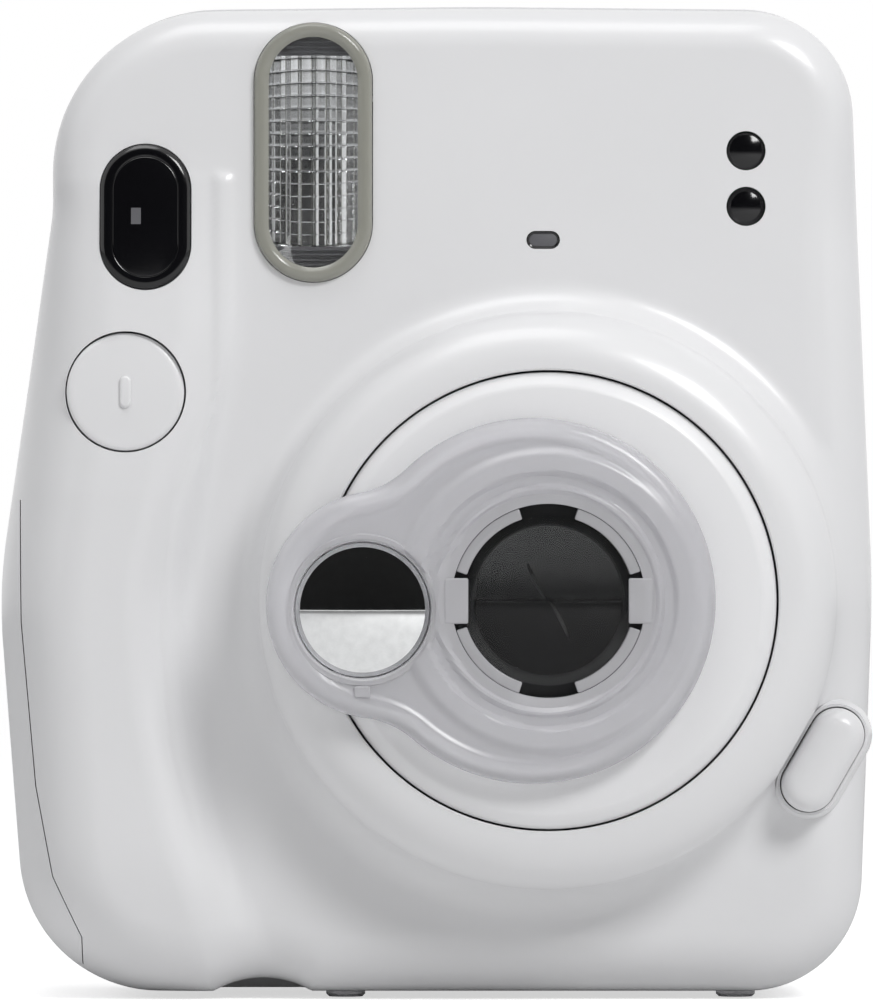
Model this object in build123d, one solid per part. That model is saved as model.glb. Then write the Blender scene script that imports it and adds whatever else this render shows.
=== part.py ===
"""Instant camera with a clip-on close-up and mirror attachment, as separate pieces.

X runs across the camera, Y from the lens (negative) to the back door (positive), Z up from
the feet. All sizes are in millimetres.
"""
from build123d import *
import math
import os

# Overall
body_width = 106.6
body_height = 122.1
camera_depth = 67.3       # lens ring to back door
attachment_depth = 4.5    # clip-on in front of the lens ring
foot_height = 0.73
wall = 2.0
gap = 0.15                # seam between two casings or a cover and its cut-out
run_gap = 0.25            # round a piece that slides or turns

half_width = body_width / 2
y_back = (camera_depth + attachment_depth) / 2
y_ring = y_back - camera_depth
y_front = y_ring - attachment_depth

# Casing
y_face = -17.0            # main front face
y_split = 6.0             # seam between the front and rear casings
y_rear_wall = y_back - 4.9
front_round = 6.0
rear_round = 4.0
top_step = 0.9            # the rear casing's rim stands above the front casing
notch_x = -21.3
notch_radius = 12.0
notch_rise = 1.6

# Lens mound, barrel and ring
lens_x = 13.6
lens_z = 48.8
mound_radius = 35.2
mound_round = 7.0
y_mound = y_ring + 0.4
ring_radius = 27.7
ring_thickness = 2.5
barrel_wall = 1.5
barrel_length = 20.0
flange_radius = 29.4
flange_thickness = 1.5
sleeve_wall = 1.6
sleeve_setback = 1.3      # clear of the rounded inside of the mound
barrel_travel = 13.0
focus_travel = 5.0
opening_radius = 11.85
aperture_radius = 8.8

# Lens cover leaves
leaf_thickness = 0.5
leaf_radius = 10.0
leaf_pivot = 13.0
leaf_split_angle = 118.0
leaf_pin_radius = 0.8

# Lens
cell_radius = 10.6
cell_length = 13.0
element_radius = 8.4

# Clip-on attachment
clip_offset = -1.9        # round part, from the lens axis
clip_radius = 22.15
clip_wall = 1.3
mirror_x = -8.9
mirror_z = 47.7
mirror_radius = 8.1
mirror_lobe_x = -6.8
mirror_lobe_z = 48.3
mirror_lobe_radius = 13.8
neck_round = 11.0
clip_bore = 10.3
clip_insert = 2.0
clip_notch = 6.7

# Film pack, chamber and rollers
pack_width = 62.0
pack_height = 99.0
pack_depth = 19.0
pack_bottom = 9.5
pack_gap = 0.4
chamber_wall = 1.6
image_width = 46.0
image_height = 62.0
roller_radius = 2.6
roller_nip = 0.3
roller_length = 56.0
journal_radius = 1.2
film_width = 54.0

# Batteries
cell_diameter = 14.2
cell_height = 50.5
cells_x = -35.5
cells_y = 2.0
cell_gap = 1.0             # between the two cells
cells_pitch = cell_diameter + cell_gap
cells_bottom = 8.2

# Front features: (x, z) of each centre
flash_x = -15.0
flash_z = 103.5
flash_width = 14.5
flash_height = 31.8
finder_x = -35.5
finder_z = 95.6
finder_width = 11.1
finder_height = 17.8
shutter_x = -37.9
shutter_z = 74.2
shutter_radius = 7.2
shutter_travel = 1.5
sensor_x = 37.9
sensor_z = 103.7
sensor_pitch = 6.8
sensor_radius = 2.35
indicator_x = 13.1
indicator_z = 92.8
indicator_width = 4.1
indicator_height = 2.2
power_x = 47.2
power_z = 29.3
power_width = 6.7
power_length = 13.7
power_angle = 60.0
power_travel = 1.2
y_power = -23.5

# Back door
door_thickness = 2.7
door_left = -25.0
door_bottom = 6.5
door_top = 116.0
knuckle_radius = 1.6
hinge_pin_radius = 0.75
hinge_inset = 3.6
latch_travel = 4.0

y_floor = foot_height
os.makedirs("parts", exist_ok=True)


# Shapes in the three main directions

def along_y(profile, y0, y1):
    """A profile drawn in X and Z, as a prism from y0 to y1."""
    return extrude(Plane.XZ.offset(-y1) * profile, amount=y1 - y0)


def along_x(profile, x0, x1):
    """A profile drawn in Y and Z, as a prism from x0 to x1."""
    return extrude(Plane.YZ.offset(x0) * profile, amount=x1 - x0)


def along_z(profile, z0, z1):
    """A profile drawn in X and Y, as a prism from z0 to z1."""
    return extrude(Plane.XY.offset(z0) * profile, amount=z1 - z0)


def disc(x, z, radius):
    return Pos(x, z) * Circle(radius)


def ring(x, z, outer, inner):
    return disc(x, z, outer) - disc(x, z, inner)


def pill(x, z, width, height, turn=0.0):
    """A slot shape whose long side is upright before it is turned."""
    return Pos(x, z) * Rot(0, 0, 90 + turn) * SlotOverall(height, width)


def block(x0, x1, y0, y1, z0, z1):
    middle = Pos((x0 + x1) / 2, (y0 + y1) / 2, (z0 + z1) / 2)
    return middle * Box(x1 - x0, y1 - y0, z1 - z0)


def polygon(*points):
    return make_face(Polyline(*points, close=True))


def front_edges(solid):
    return solid.faces().sort_by(Axis.Y)[0].edges()


def rear_edges(solid):
    return solid.faces().sort_by(Axis.Y)[-1].edges()


def save(name, *solids):
    """Writes one sub-part; several solids share a node as a group."""
    flat = []
    for solid in solids:
        flat.extend(solid.solids())
    export_step(flat[0] if len(flat) == 1 else Compound(children=flat), f"parts/{name}.step")
    print(name, len(flat))


# Casing outline

def raw_outline(top_drop=0.0):
    top = body_height - top_drop
    corners = (
        (-half_width + 6.4, top - 0.5, 20),
        (-half_width + 6.4, 0.79 * body_height, 20),
        (-half_width - 0.4, 0.41 * body_height, 60),
        (-half_width + 3.4, y_floor, 17),
        (half_width - 1.4, y_floor, 14),
        (half_width + 0.4, 0.41 * body_height, 150),
        (half_width - 2.6, top - 0.4, 13),
        (5, top + 0.05, 300),
    )
    points = [(x, z) for x, z, radius in corners]
    radii = [radius for x, z, radius in corners]
    return make_face(FilletPolyline(*points, radius=radii, close=True))


outline_box = raw_outline().bounding_box()
outline_shift = -(outline_box.min.X + outline_box.max.X) / 2


def outline(top_drop=0.0, inset=0.0):
    face = Pos(outline_shift, 0) * raw_outline(top_drop)
    return offset(face, amount=-inset) if inset else face


# Grip: the raised left part, bounded on its right by the stepped groove

def grip_region(inset=0.0):
    left = -half_width - 5
    groove = (
        (26.8, 106.0),
        (27.4, 84.0),
        (25.3, 72.0),
        (21.8, 58.0),
        (21.0, 42.0),
        (22.3, 28.0),
        (25.8, 12.0),
        (28.8, -2.0),
    )
    edge = [(reach - half_width - inset, z) for reach, z in groove]
    side = Spline(*edge)
    rest = Polyline(edge[-1], (left, edge[-1][1]), (left, edge[0][1]), edge[0])
    return outline(top_step, inset) & make_face([side, rest])


grip_round = 3.5
grip_top_z = 104.0
grip_full_z = 62.0
grip_low_z = 18.0
y_grip = -21.5


def grip_y(z):
    """The grip's front face at a height."""
    share = (grip_top_z - z) / (grip_top_z - grip_full_z)
    return y_face + (y_grip - y_face) * min(max(share, 0), 1)


def on_outline(edge, inset):
    """Whether an edge of the grip lies above the casing's own side."""
    middle = edge @ 0.5
    spot = Pos(middle.X, middle.Z) * Circle(0.05)
    covered = outline(top_step, inset + 0.1) & spot
    return covered is None or covered.area < 0.004


def grip_pad(inset=0.0):
    front = FilletPolyline(
        (y_face + inset, grip_top_z),
        (y_grip + inset, grip_full_z),
        (y_grip + inset, grip_low_z),
        (y_face - 1.5 + inset, -1.0),
        radius=60,
    )
    back = Polyline(front @ 1, (y_face + 9.0, -1.0), (y_face + 9.0, grip_top_z), front @ 0)
    profile = make_face([*front.edges(), *back.edges()])
    pad = along_y(grip_region(inset), y_grip - 1, y_face + 9) & along_x(profile, -half_width - 6, -20)
    outer = [edge for edge in pad.edges() if edge.center().Y < y_face - 0.4 and on_outline(edge, inset)]
    return fillet(outer, grip_round - inset) if grip_round > inset else pad


# Battery cover: the skin outside this line comes off with the cover

def cover_region(grow=0.0):
    edge = half_width
    seam = (
        (-edge - 3, 61.0 + grow),
        (-edge + 2.3 + grow, 61.0 + grow),
        (-edge + 2.5 + grow, 46.0),
        (-edge + 4.3 + grow, 26.0),
        (-edge + 6.4 + grow, 15.0),
        (-edge + 9.9 + grow, 7.5 - grow),
        (-edge + 9.9 + grow, 4.0 - grow),
        (-edge - 3, 4.0 - grow),
    )
    return polygon(*seam)


y_cover_front = y_grip - 2
y_cover_rear = 24.0


def outer_front():
    core = along_y(outline(top_step), y_face, y_split)
    core = fillet(front_edges(core), front_round)
    pad = grip_pad()
    mound = along_y(disc(lens_x, lens_z, mound_radius), y_mound, y_face + 3)
    mound = fillet(front_edges(mound), mound_round)
    pedestal = along_y(
        pill(power_x, power_z, power_width + 1.2, power_length + 1.2, power_angle - 90),
        y_power + 4.5,
        y_face + 11,
    )
    form = core + pad + mound + pedestal
    return form - bottom_notch()


def bottom_notch():
    center_z = y_floor + notch_rise - notch_radius
    return along_y(disc(notch_x, center_z, notch_radius), y_front, y_split - 4)


def inner_front():
    cavity = along_y(outline(top_step, wall), y_face + wall, y_split + 1)
    mound = along_y(disc(lens_x, lens_z, mound_radius - wall), y_mound + wall, y_face + wall + 1)
    mound = fillet(front_edges(mound), mound_round - wall)
    keep = along_y(
        disc(notch_x, y_floor + notch_rise - notch_radius, notch_radius + wall),
        y_front,
        y_split + 1,
    )
    return cavity + mound + grip_pad(wall + 0.3) - keep


front_outer = outer_front()


def front_holes():
    bore = along_y(disc(lens_x, lens_z, ring_radius + run_gap), y_ring - 1, y_mound + wall + 1)
    flash = along_y(pill(flash_x, flash_z, flash_width - 1.0, flash_height - 1.0), y_face - 3, y_face + 5)
    finder = along_y(
        pill(finder_x, finder_z, finder_width + gap, finder_height + gap),
        y_grip,
        y_face + 8,
    )
    shutter = along_y(disc(shutter_x, shutter_z, shutter_radius + gap), y_grip - 1, y_face + 6)
    indicator = along_y(
        pill(indicator_x, indicator_z, indicator_height, indicator_width, 90),
        y_face - 1,
        y_face + 3,
    )
    power = along_y(
        pill(power_x, power_z, power_width + 2 * gap, power_length + 2 * gap, power_angle - 90),
        y_power - 1,
        y_power + 8.0,
    )
    holes = bore + flash + finder + shutter + indicator + power
    for lens in range(2):
        holes += along_y(
            disc(sensor_x, sensor_z - lens * sensor_pitch, sensor_radius),
            y_face - 1,
            y_face + 3,
        )
    return holes


def cover_cut(grow):
    return along_y(cover_region(grow), y_cover_front - grow, y_cover_rear + grow)


front_shell = front_outer - inner_front() - front_holes() - cover_cut(gap)
save("front_shell", front_shell)


# Rear casing with the film door's opening, the film exit slot and the strap recess

chamber_left = lens_x - pack_width / 2 - pack_gap
chamber_right = lens_x + pack_width / 2 + pack_gap
chamber_low = pack_bottom - pack_gap
chamber_high = pack_bottom + pack_height + pack_gap
y_pack_rear = y_rear_wall
y_pack_front = y_pack_rear - pack_depth
y_film = y_pack_front + 1.5
y_door = y_rear_wall + 0.3
hinge_x = half_width - hinge_inset
hinge_y = y_door + knuckle_radius
hinge_levels = (0.2 * body_height, 0.8 * body_height)
ear_height = 6.0
knuckle_height = 4.0
slot_front = y_film - 1.4
slot_rear = y_film + 3.4
strap_z = 0.86 * body_height
strap_y = 18.0
strap_x = half_width - 4.6
strap_height = 8.0
strap_pin_radius = 1.1
counter_x = -33.0
counter_z = 69.0
counter_radius = 7.0
eyepiece_width = 13.0
eyepiece_height = 15.0
finder_tube_width = 9.0
finder_tube_height = 13.0
latch_x = door_left + 2.7
latch_z = 0.5 * body_height
latch_width = 4.0
latch_length = 14.0


def outer_rear():
    core = along_y(outline(), y_split, y_rear_wall)
    return fillet(rear_edges(core), rear_round)


def inner_rear():
    return along_y(outline(0, wall), y_split - 1, y_rear_wall - wall)


def rear_holes():
    chamber = block(
        chamber_left,
        chamber_right,
        y_rear_wall - 3,
        y_rear_wall + 1,
        chamber_low,
        chamber_high,
    )
    chamber += block(
        latch_x - 1.6,
        latch_x + 1.6,
        y_rear_wall - 3,
        y_rear_wall + 1,
        latch_z + 1.2 - latch_travel,
        latch_z + 4.9,
    )
    finder = block(
        finder_x - finder_tube_width / 2,
        finder_x + finder_tube_width / 2,
        y_rear_wall - 3,
        y_rear_wall + 1,
        finder_z - finder_tube_height / 2,
        finder_z + finder_tube_height / 2,
    )
    counter = along_y(pill(counter_x, counter_z + 4.0, 4.0, 6.0, 90), y_rear_wall - 3, y_rear_wall + 1)
    slot = block(
        lens_x - film_width / 2 - 0.4,
        lens_x + film_width / 2 + 0.4,
        slot_front - run_gap,
        slot_rear + 1.0,
        body_height - 3.2,
        body_height + 1,
    )
    strap = block(
        strap_x,
        half_width + 1,
        strap_y - 4.5,
        strap_y + 4.5,
        strap_z - strap_height / 2,
        strap_z + strap_height / 2,
    )
    return chamber + finder + counter + slot + strap


def door_ears():
    ears = []
    for level in hinge_levels:
        ear = block(
            hinge_x - knuckle_radius,
            hinge_x + knuckle_radius,
            y_rear_wall - 1.5,
            hinge_y,
            level - ear_height / 2,
            level + ear_height / 2,
        )
        tip = Pos(hinge_x, hinge_y, level) * Cylinder(knuckle_radius, ear_height)
        hole = Pos(hinge_x, hinge_y, level) * Cylinder(hinge_pin_radius, ear_height + 2)
        ears.append(ear + tip - hole)
    return ears


def strap_cup():
    """The recess behind the strap bar, closed towards the inside."""
    cup = block(
        strap_x - wall,
        half_width - 1.5,
        strap_y - 4.5 - wall,
        strap_y + 4.5 + wall,
        strap_z - strap_height / 2 - wall,
        strap_z + strap_height / 2 + wall,
    )
    return cup & along_y(outline(0, 0.5), y_split, y_rear_wall)


rear_shell = outer_rear() - inner_rear() + strap_cup() - rear_holes() - cover_cut(gap)
for ear in door_ears():
    rear_shell += ear
strap_hole = Pos(half_width - 2.6, strap_y, strap_z) * Cylinder(strap_pin_radius, strap_height + 2.4)
rear_shell -= strap_hole
save("rear_shell", rear_shell)

strap_bar = Pos(half_width - 2.6, strap_y, strap_z) * Cylinder(strap_pin_radius, strap_height + 2.4)
save("strap_bar", strap_bar)


# Battery cover

cover_blank = along_y(cover_region(), y_cover_front, y_cover_rear)
casing_blank = front_outer + outer_rear()
cover_hollow = along_y(offset(outline(top_step), amount=-wall), y_face + wall + 1, y_cover_rear - 1.5)
battery_cover = (cover_blank & casing_blank) - cover_hollow
save("battery_cover", *battery_cover.solids().sort_by(SortBy.VOLUME)[-1:])


# Chassis: light box in front of the film, and the frame that holds the film pack

box_front = y_ring + ring_thickness + barrel_length + 3.0
box_left = lens_x - 31.2
box_right = lens_x + 31.2
box_low = lens_z - 33.0
box_high = lens_z + 33.0
y_frame = y_pack_front - chamber_wall - 0.1

light_box = block(box_left, box_right, box_front, y_frame + 0.5, box_low, box_high)
light_box -= block(
    box_left + chamber_wall,
    box_right - chamber_wall,
    box_front + chamber_wall,
    y_frame + 1,
    box_low + chamber_wall,
    box_high - chamber_wall,
)
light_box -= along_y(disc(lens_x, lens_z, ring_radius - 1.5), box_front - 1, box_front + 3)
film_frame = block(
    chamber_left - chamber_wall,
    chamber_right + chamber_wall,
    y_frame,
    y_rear_wall - wall,
    chamber_low - chamber_wall,
    chamber_high + chamber_wall,
)
film_frame -= block(
    chamber_left,
    chamber_right,
    y_pack_front - 0.1,
    y_rear_wall,
    chamber_low,
    chamber_high,
)
gate = block(
    lens_x - image_width / 2,
    lens_x + image_width / 2,
    y_frame - 1,
    y_pack_front + 1,
    lens_z - image_height / 2,
    lens_z + image_height / 2,
)
film_way = block(
    lens_x - film_width / 2 - 1,
    lens_x + film_width / 2 + 1,
    y_film - 1.0,
    y_film + 1.0,
    chamber_high - 1,
    chamber_high + chamber_wall + 1,
)
inner_chassis = light_box + film_frame - gate - film_way
save("inner_chassis", inner_chassis)

# Barrel guide: a fixed tube from the light box to the inside of the mound
sleeve_bore = flange_radius + run_gap
barrel_sleeve = along_y(
    ring(lens_x, lens_z, sleeve_bore + sleeve_wall, sleeve_bore),
    y_mound + wall + sleeve_setback,
    box_front,
)
save("barrel_sleeve", barrel_sleeve)

# Film pack: a thin-walled cartridge with its image window and its stack of film
pack_box = block(
    lens_x - pack_width / 2,
    lens_x + pack_width / 2,
    y_pack_front,
    y_pack_rear,
    pack_bottom,
    pack_bottom + pack_height,
)
pack_box = fillet(pack_box.edges().filter_by(Axis.Y), 2.0)
window = block(
    lens_x - image_width / 2 - 1,
    lens_x + image_width / 2 + 1,
    y_pack_front - 1,
    y_pack_front + 1.0,
    lens_z - image_height / 2 - 1,
    lens_z + image_height / 2 + 1,
)
save("film_pack", pack_box - window)


# Eject rollers with their gears, in a bracket above the film pack

roller_z = chamber_high + chamber_wall + roller_radius + 1.0
roller_offset = roller_radius + roller_nip / 2
roller_left = lens_x - roller_length / 2
roller_right = lens_x + roller_length / 2
plate_thickness = 1.5
gear_thickness = 2.0
gear_left = chamber_left - chamber_wall - gear_thickness - 1.6
gear_teeth = 14
pitch_radius = roller_offset
tooth_height = 0.32


def gear(y, z, radius, teeth, phase=0.0):
    """A spur gear with narrow teeth that leave backlash in the mesh."""
    points = []
    for tooth in range(teeth):
        for share, reach in ((-0.26, -1), (-0.13, 1), (0.13, 1), (0.26, -1)):
            angle = math.radians(phase + 360 * (tooth + share) / teeth)
            reach_radius = radius + reach * tooth_height
            points.append((y + reach_radius * math.cos(angle), z + reach_radius * math.sin(angle)))
    return polygon(*points)


def eject_roller(y, phase):
    body = along_x(Pos(y, roller_z) * Circle(roller_radius), roller_left, roller_right)
    shaft = along_x(Pos(y, roller_z) * Circle(journal_radius), gear_left - 0.1, chamber_right + 1.0)
    wheel = along_x(
        gear(y, roller_z, pitch_radius, gear_teeth, phase),
        gear_left,
        gear_left + gear_thickness,
    )
    return body + shaft + wheel


save("front_eject_roller", eject_roller(y_film - roller_offset, 0.0))
save("rear_eject_roller", eject_roller(y_film + roller_offset, 180 / gear_teeth))


def bracket_plate(x0):
    plate = block(
        x0,
        x0 + plate_thickness,
        y_film - 2 * roller_radius - 1.5,
        y_film + 2 * roller_radius + 1.5,
        chamber_high + chamber_wall,
        roller_z + roller_radius,
    )
    for side in (-1, 1):
        plate -= along_x(
            Pos(y_film + side * roller_offset, roller_z) * Circle(journal_radius + 0.05),
            x0 - 1,
            x0 + 3,
        )
    return plate


bracket_left = roller_left - 0.3 - plate_thickness
bracket_right = roller_right + 0.3
save("roller_bracket", bracket_plate(bracket_left), bracket_plate(bracket_right))

# Motor and reduction gear
pinion_teeth = 12
pinion_radius = pitch_radius * pinion_teeth / gear_teeth
mesh_distance = pitch_radius + pinion_radius
motor_radius = 4.2
motor_drop = -4.4
motor_z = roller_z + motor_drop
motor_y = y_film + roller_offset + math.sqrt(mesh_distance ** 2 - motor_drop ** 2)
motor_right = gear_left - 2.9
motor_length = 15.0
mesh_angle = math.degrees(math.atan2(motor_drop, motor_y - y_film - roller_offset))
rear_phase = 180 / gear_teeth
mesh_share = (mesh_angle - rear_phase) * gear_teeth / 360
pinion_phase = mesh_angle + 180 + (mesh_share % 1 - 0.5) * 360 / pinion_teeth

motor = along_x(Pos(motor_y, motor_z) * Circle(motor_radius), motor_right - motor_length, motor_right)
motor = motor & along_x(
    Pos(motor_y, motor_z) * Rectangle(2 * motor_radius, 1.6 * motor_radius),
    -half_width,
    0,
)
save("drive_motor", motor)
gearbox = along_x(
    Pos(motor_y, motor_z) * RectangleRounded(2 * motor_radius, 1.8 * motor_radius, 1.0),
    motor_right,
    motor_right + 2.6,
)
save("gearbox", gearbox - along_x(Pos(motor_y, motor_z) * Circle(0.85), motor_right, motor_right + 3))
pinion = along_x(
    gear(motor_y, motor_z, pinion_radius, pinion_teeth, pinion_phase),
    gear_left,
    gear_left + gear_thickness,
)
pinion += along_x(Pos(motor_y, motor_z) * Circle(0.8), motor_right + 0.5, gear_left)
save("output_pinion", pinion)

# Film exit flap in the top slot
flap_thickness = 0.8
flap_z = body_height - 1.2
flap_pivot_y = slot_rear
flap_left = lens_x - film_width / 2
flap_right = lens_x + film_width / 2
flap = block(
    flap_left,
    flap_right,
    slot_front,
    flap_pivot_y,
    flap_z - flap_thickness / 2,
    flap_z + flap_thickness / 2,
)
flap += along_x(Pos(flap_pivot_y, flap_z) * Circle(0.5), flap_left - 0.35, flap_right + 0.35)
save("exit_flap", flap)


# Back door with its film window, latch, pins and pressure springs

door_right = hinge_x - knuckle_radius - 0.8
door_plate = block(door_left, door_right, y_door, y_door + door_thickness, door_bottom, door_top)
door_plate = fillet(door_plate.edges().filter_by(Axis.Y), 8.0)
door_panel = block(
    chamber_left + 1,
    chamber_right - 1,
    y_door,
    y_back,
    chamber_low + 3,
    chamber_high - 1,
)
door_panel = fillet(door_panel.edges().filter_by(Axis.Y), 6.0)
door_panel = fillet(rear_edges(door_panel), 1.2)
door_plate = fillet(rear_edges(door_plate), 1.0)
door_form = door_plate + door_panel
door_form -= block(
    chamber_left + 2.5,
    chamber_right - 2.5,
    y_door - 1,
    y_door + 2.2,
    chamber_low + 4.5,
    chamber_high - 2.5,
)
film_window_x = lens_x
film_window_z = 0.5 * body_height
film_window_width = 7.0
film_window_height = 22.0
door_form -= along_y(
    pill(film_window_x, film_window_z, film_window_width, film_window_height), y_door - 1, y_back + 1
)
door_form -= along_y(
    pill(latch_x, latch_z - latch_travel / 2, latch_width, latch_length + latch_travel),
    y_door - 1,
    y_back,
)
for level in hinge_levels:
    for side in (-1, 1):
        start = level + side * (ear_height / 2 + 0.2)
        low, high = sorted((start, start + side * knuckle_height))
        middle = (low + high) / 2
        door_form += block(door_right - 1.5, hinge_x, y_door, hinge_y + 1.2, low, high)
        door_form += Pos(hinge_x, hinge_y, middle) * Cylinder(knuckle_radius, knuckle_height)
        door_form -= Pos(hinge_x, hinge_y, middle) * Cylinder(hinge_pin_radius + 0.05, knuckle_height)
save("back_door", door_form)

film_window = along_y(
    pill(film_window_x, film_window_z, film_window_width, film_window_height), y_back - 1.6, y_back - 0.5
)
save("film_window", film_window)

pins = []
pin_length = ear_height + 2 * knuckle_height + 0.8
for level in hinge_levels:
    pins.append(Pos(hinge_x, hinge_y, level) * Cylinder(hinge_pin_radius, pin_length))
save("door_hinge_pins", *pins)

latch_body = along_y(
    pill(latch_x, latch_z, latch_width - 2 * gap, latch_length),
    y_door + 0.1,
    y_door + door_thickness + 0.9,
)
latch_hook = block(
    latch_x - 1.2,
    latch_x + 1.2,
    y_rear_wall - wall,
    y_door + 0.5,
    latch_z + 1.5,
    latch_z + 4.5,
)
save("door_latch", latch_body + latch_hook)

spring_thickness = 0.4
pack_springs = []
for side in (-1, 1):
    x0 = lens_x + side * 14 - 3
    foot = block(x0, x0 + 6, y_door + 2.2 - spring_thickness, y_door + 2.2, lens_z - 16, lens_z + 16)
    pack_springs.append(foot)
save("pack_springs", *pack_springs)


# Barrel, focus ring and lens

y_barrel = y_ring + ring_thickness + 0.2
y_flange = y_barrel + barrel_length
barrel = along_y(ring(lens_x, lens_z, ring_radius, ring_radius - barrel_wall), y_barrel, y_flange)
barrel += along_y(
    ring(lens_x, lens_z, flange_radius, ring_radius - barrel_wall), y_flange - flange_thickness, y_flange
)
save("lens_barrel", barrel)

skirt_radius = ring_radius - barrel_wall - run_gap
skirt_length = 12.0
y_plate = y_ring + ring_thickness
front_ring = along_y(ring(lens_x, lens_z, ring_radius, opening_radius), y_ring, y_plate)
front_ring = chamfer(front_ring.faces().sort_by(Axis.Y)[0].edges().sort_by(SortBy.RADIUS)[-1:], 0.6, 1.4)
front_ring += along_y(
    ring(lens_x, lens_z, skirt_radius, skirt_radius - barrel_wall),
    y_plate - 0.5,
    y_plate + skirt_length,
)
save("front_ring", front_ring)

plate_radius = skirt_radius - barrel_wall
cover_plate_thickness = 0.8
leaf_pin_x = leaf_pivot * math.cos(math.radians(leaf_split_angle))
leaf_pin_z = leaf_pivot * math.sin(math.radians(leaf_split_angle))
y_leaf = y_plate + cover_plate_thickness + 0.1
leaf_step = leaf_thickness + 0.1
y_cell_flange = y_leaf + 2 * leaf_step + 0.2
cover_plate = along_y(
    ring(lens_x, lens_z, plate_radius, aperture_radius), y_plate, y_plate + cover_plate_thickness
)
save("cover_plate", cover_plate)


def cover_leaf(side):
    """One of the two leaves; the other is the same piece turned half round."""
    turn = leaf_split_angle + (180 if side else 0)
    half = Circle(leaf_radius) & Pos(0, leaf_radius / 2) * Rectangle(2 * leaf_radius, leaf_radius)
    wave = Pos(leaf_radius / 4, 0) * Ellipse(leaf_radius / 4, 0.5)
    half = half - wave
    arm = Pos(-leaf_pivot, 0) * Circle(2.0)
    bridge = polygon(
        (-leaf_pivot, 2.0),
        (-leaf_pivot, -2.0),
        (-leaf_radius + 0.6, 0.0),
        (-leaf_radius + 2.5, 5.6),
    )
    hole = Pos(-leaf_pivot, 0) * Circle(leaf_pin_radius + 0.05)
    face = Pos(lens_x, lens_z) * Rot(0, 0, turn) * (half + arm + bridge - hole)
    y0 = y_leaf + side * leaf_step
    return along_y(face, y0, y0 + leaf_thickness)


save("lens_cover_left", cover_leaf(0))
save("lens_cover_right", cover_leaf(1))

y_cell_rear = y_cell_flange + cell_length
lens_cell = along_y(ring(lens_x, lens_z, cell_radius, element_radius), y_cell_flange, y_cell_rear)
lens_cell += along_y(
    ring(lens_x, lens_z, plate_radius, element_radius),
    y_cell_flange,
    y_cell_flange + 1.5,
)
for side in (-1, 1):
    pin_x = lens_x - side * leaf_pin_x
    pin_z = lens_z - side * leaf_pin_z
    lens_cell += along_y(
        disc(pin_x, pin_z, leaf_pin_radius),
        y_plate + cover_plate_thickness,
        y_cell_flange + 0.5,
    )
shelf = along_y(
    ring(lens_x, lens_z, cell_radius - 1, element_radius - 1.2),
    y_cell_flange + 5.0,
    y_cell_flange + 6.0,
)
save("lens_cell", lens_cell + shelf)


def lens_element(y0, y1, front_bulge, rear_bulge, radius):
    """A round glass between two spherical caps, seated in the cell."""
    profile_points = (
        (0, y0 - front_bulge),
        (radius * 0.72, y0 - front_bulge * 0.48),
        (radius, y0),
    )
    front = Spline(*profile_points)
    rear = Spline((radius, y1), (radius * 0.72, y1 + rear_bulge * 0.48), (0, y1 + rear_bulge))
    side = Line((radius, y0), (radius, y1))
    axis = Line((0, y1 + rear_bulge), (0, y0 - front_bulge))
    face = make_face([front, side, rear, axis])
    return Pos(lens_x, 0, lens_z) * revolve(Plane.XY * face, Axis.Y)


save(
    "front_lens_element",
    lens_element(y_cell_flange + 2.4, y_cell_flange + 4.9, 1.2, -0.6, element_radius - 0.02),
)
save(
    "rear_lens_element",
    lens_element(y_cell_flange + 8.0, y_cell_flange + 11.5, -0.5, 1.2, element_radius - 0.02),
)
shutter_plate = along_y(
    ring(lens_x, lens_z, element_radius - 0.05, 3.2),
    y_cell_flange + 6.1,
    y_cell_flange + 7.0,
)
save("shutter_plate", shutter_plate)


# Clip-on attachment

def clip_outline(inset=0.0):
    """The round part and the mirror's lobe, joined by a neck of two hollow curves."""
    round_x = lens_x + clip_offset
    across = math.hypot(round_x - mirror_lobe_x, lens_z - mirror_lobe_z)
    to_round = clip_radius + neck_round
    to_lobe = mirror_lobe_radius + neck_round
    along = (to_lobe ** 2 - to_round ** 2 + across ** 2) / (2 * across)
    aside = math.sqrt(to_lobe ** 2 - along ** 2)
    lean = math.atan2(lens_z - mirror_lobe_z, round_x - mirror_lobe_x)
    hollows = []
    for side in (1, -1):
        x = mirror_lobe_x + along * math.cos(lean) - side * aside * math.sin(lean)
        z = mirror_lobe_z + along * math.sin(lean) + side * aside * math.cos(lean)
        hollows.append((x, z))
    upper, lower = hollows
    shape = polygon((mirror_lobe_x, mirror_lobe_z), lower, (round_x, lens_z), upper)
    for x, z in hollows:
        shape -= disc(x, z, neck_round + inset)
    shape += disc(round_x, lens_z, clip_radius - inset)
    return shape + disc(mirror_lobe_x, mirror_lobe_z, mirror_lobe_radius - inset)


y_clip_back = y_ring - 0.1
clip_rim = 2.2
clip = along_y(clip_outline(), y_front, y_clip_back)
clip = fillet(front_edges(clip), 1.8)
clip -= along_y(clip_outline(clip_rim), y_front + clip_wall, y_clip_back + 1)
clip_tube_wall = 1.4
clip += along_y(
    ring(lens_x, lens_z, clip_bore + clip_tube_wall, clip_bore),
    y_front + 0.2,
    y_clip_back + clip_insert,
)
clip -= along_y(disc(lens_x, lens_z, clip_bore), y_front - 1, y_clip_back + 3)
for turn in (0, 90):
    slot = Pos(lens_x, lens_z) * Rot(0, 0, turn) * Rectangle(clip_notch, 2 * opening_radius + 1)
    clip -= along_y(
        slot - disc(lens_x, lens_z, clip_bore - 0.1),
        y_clip_back - 0.6,
        y_clip_back + clip_insert + 1,
    )
mirror_cup = along_y(disc(mirror_x, mirror_z, mirror_radius + 1.1), y_front + 0.6, y_clip_back)
clip += mirror_cup
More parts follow.
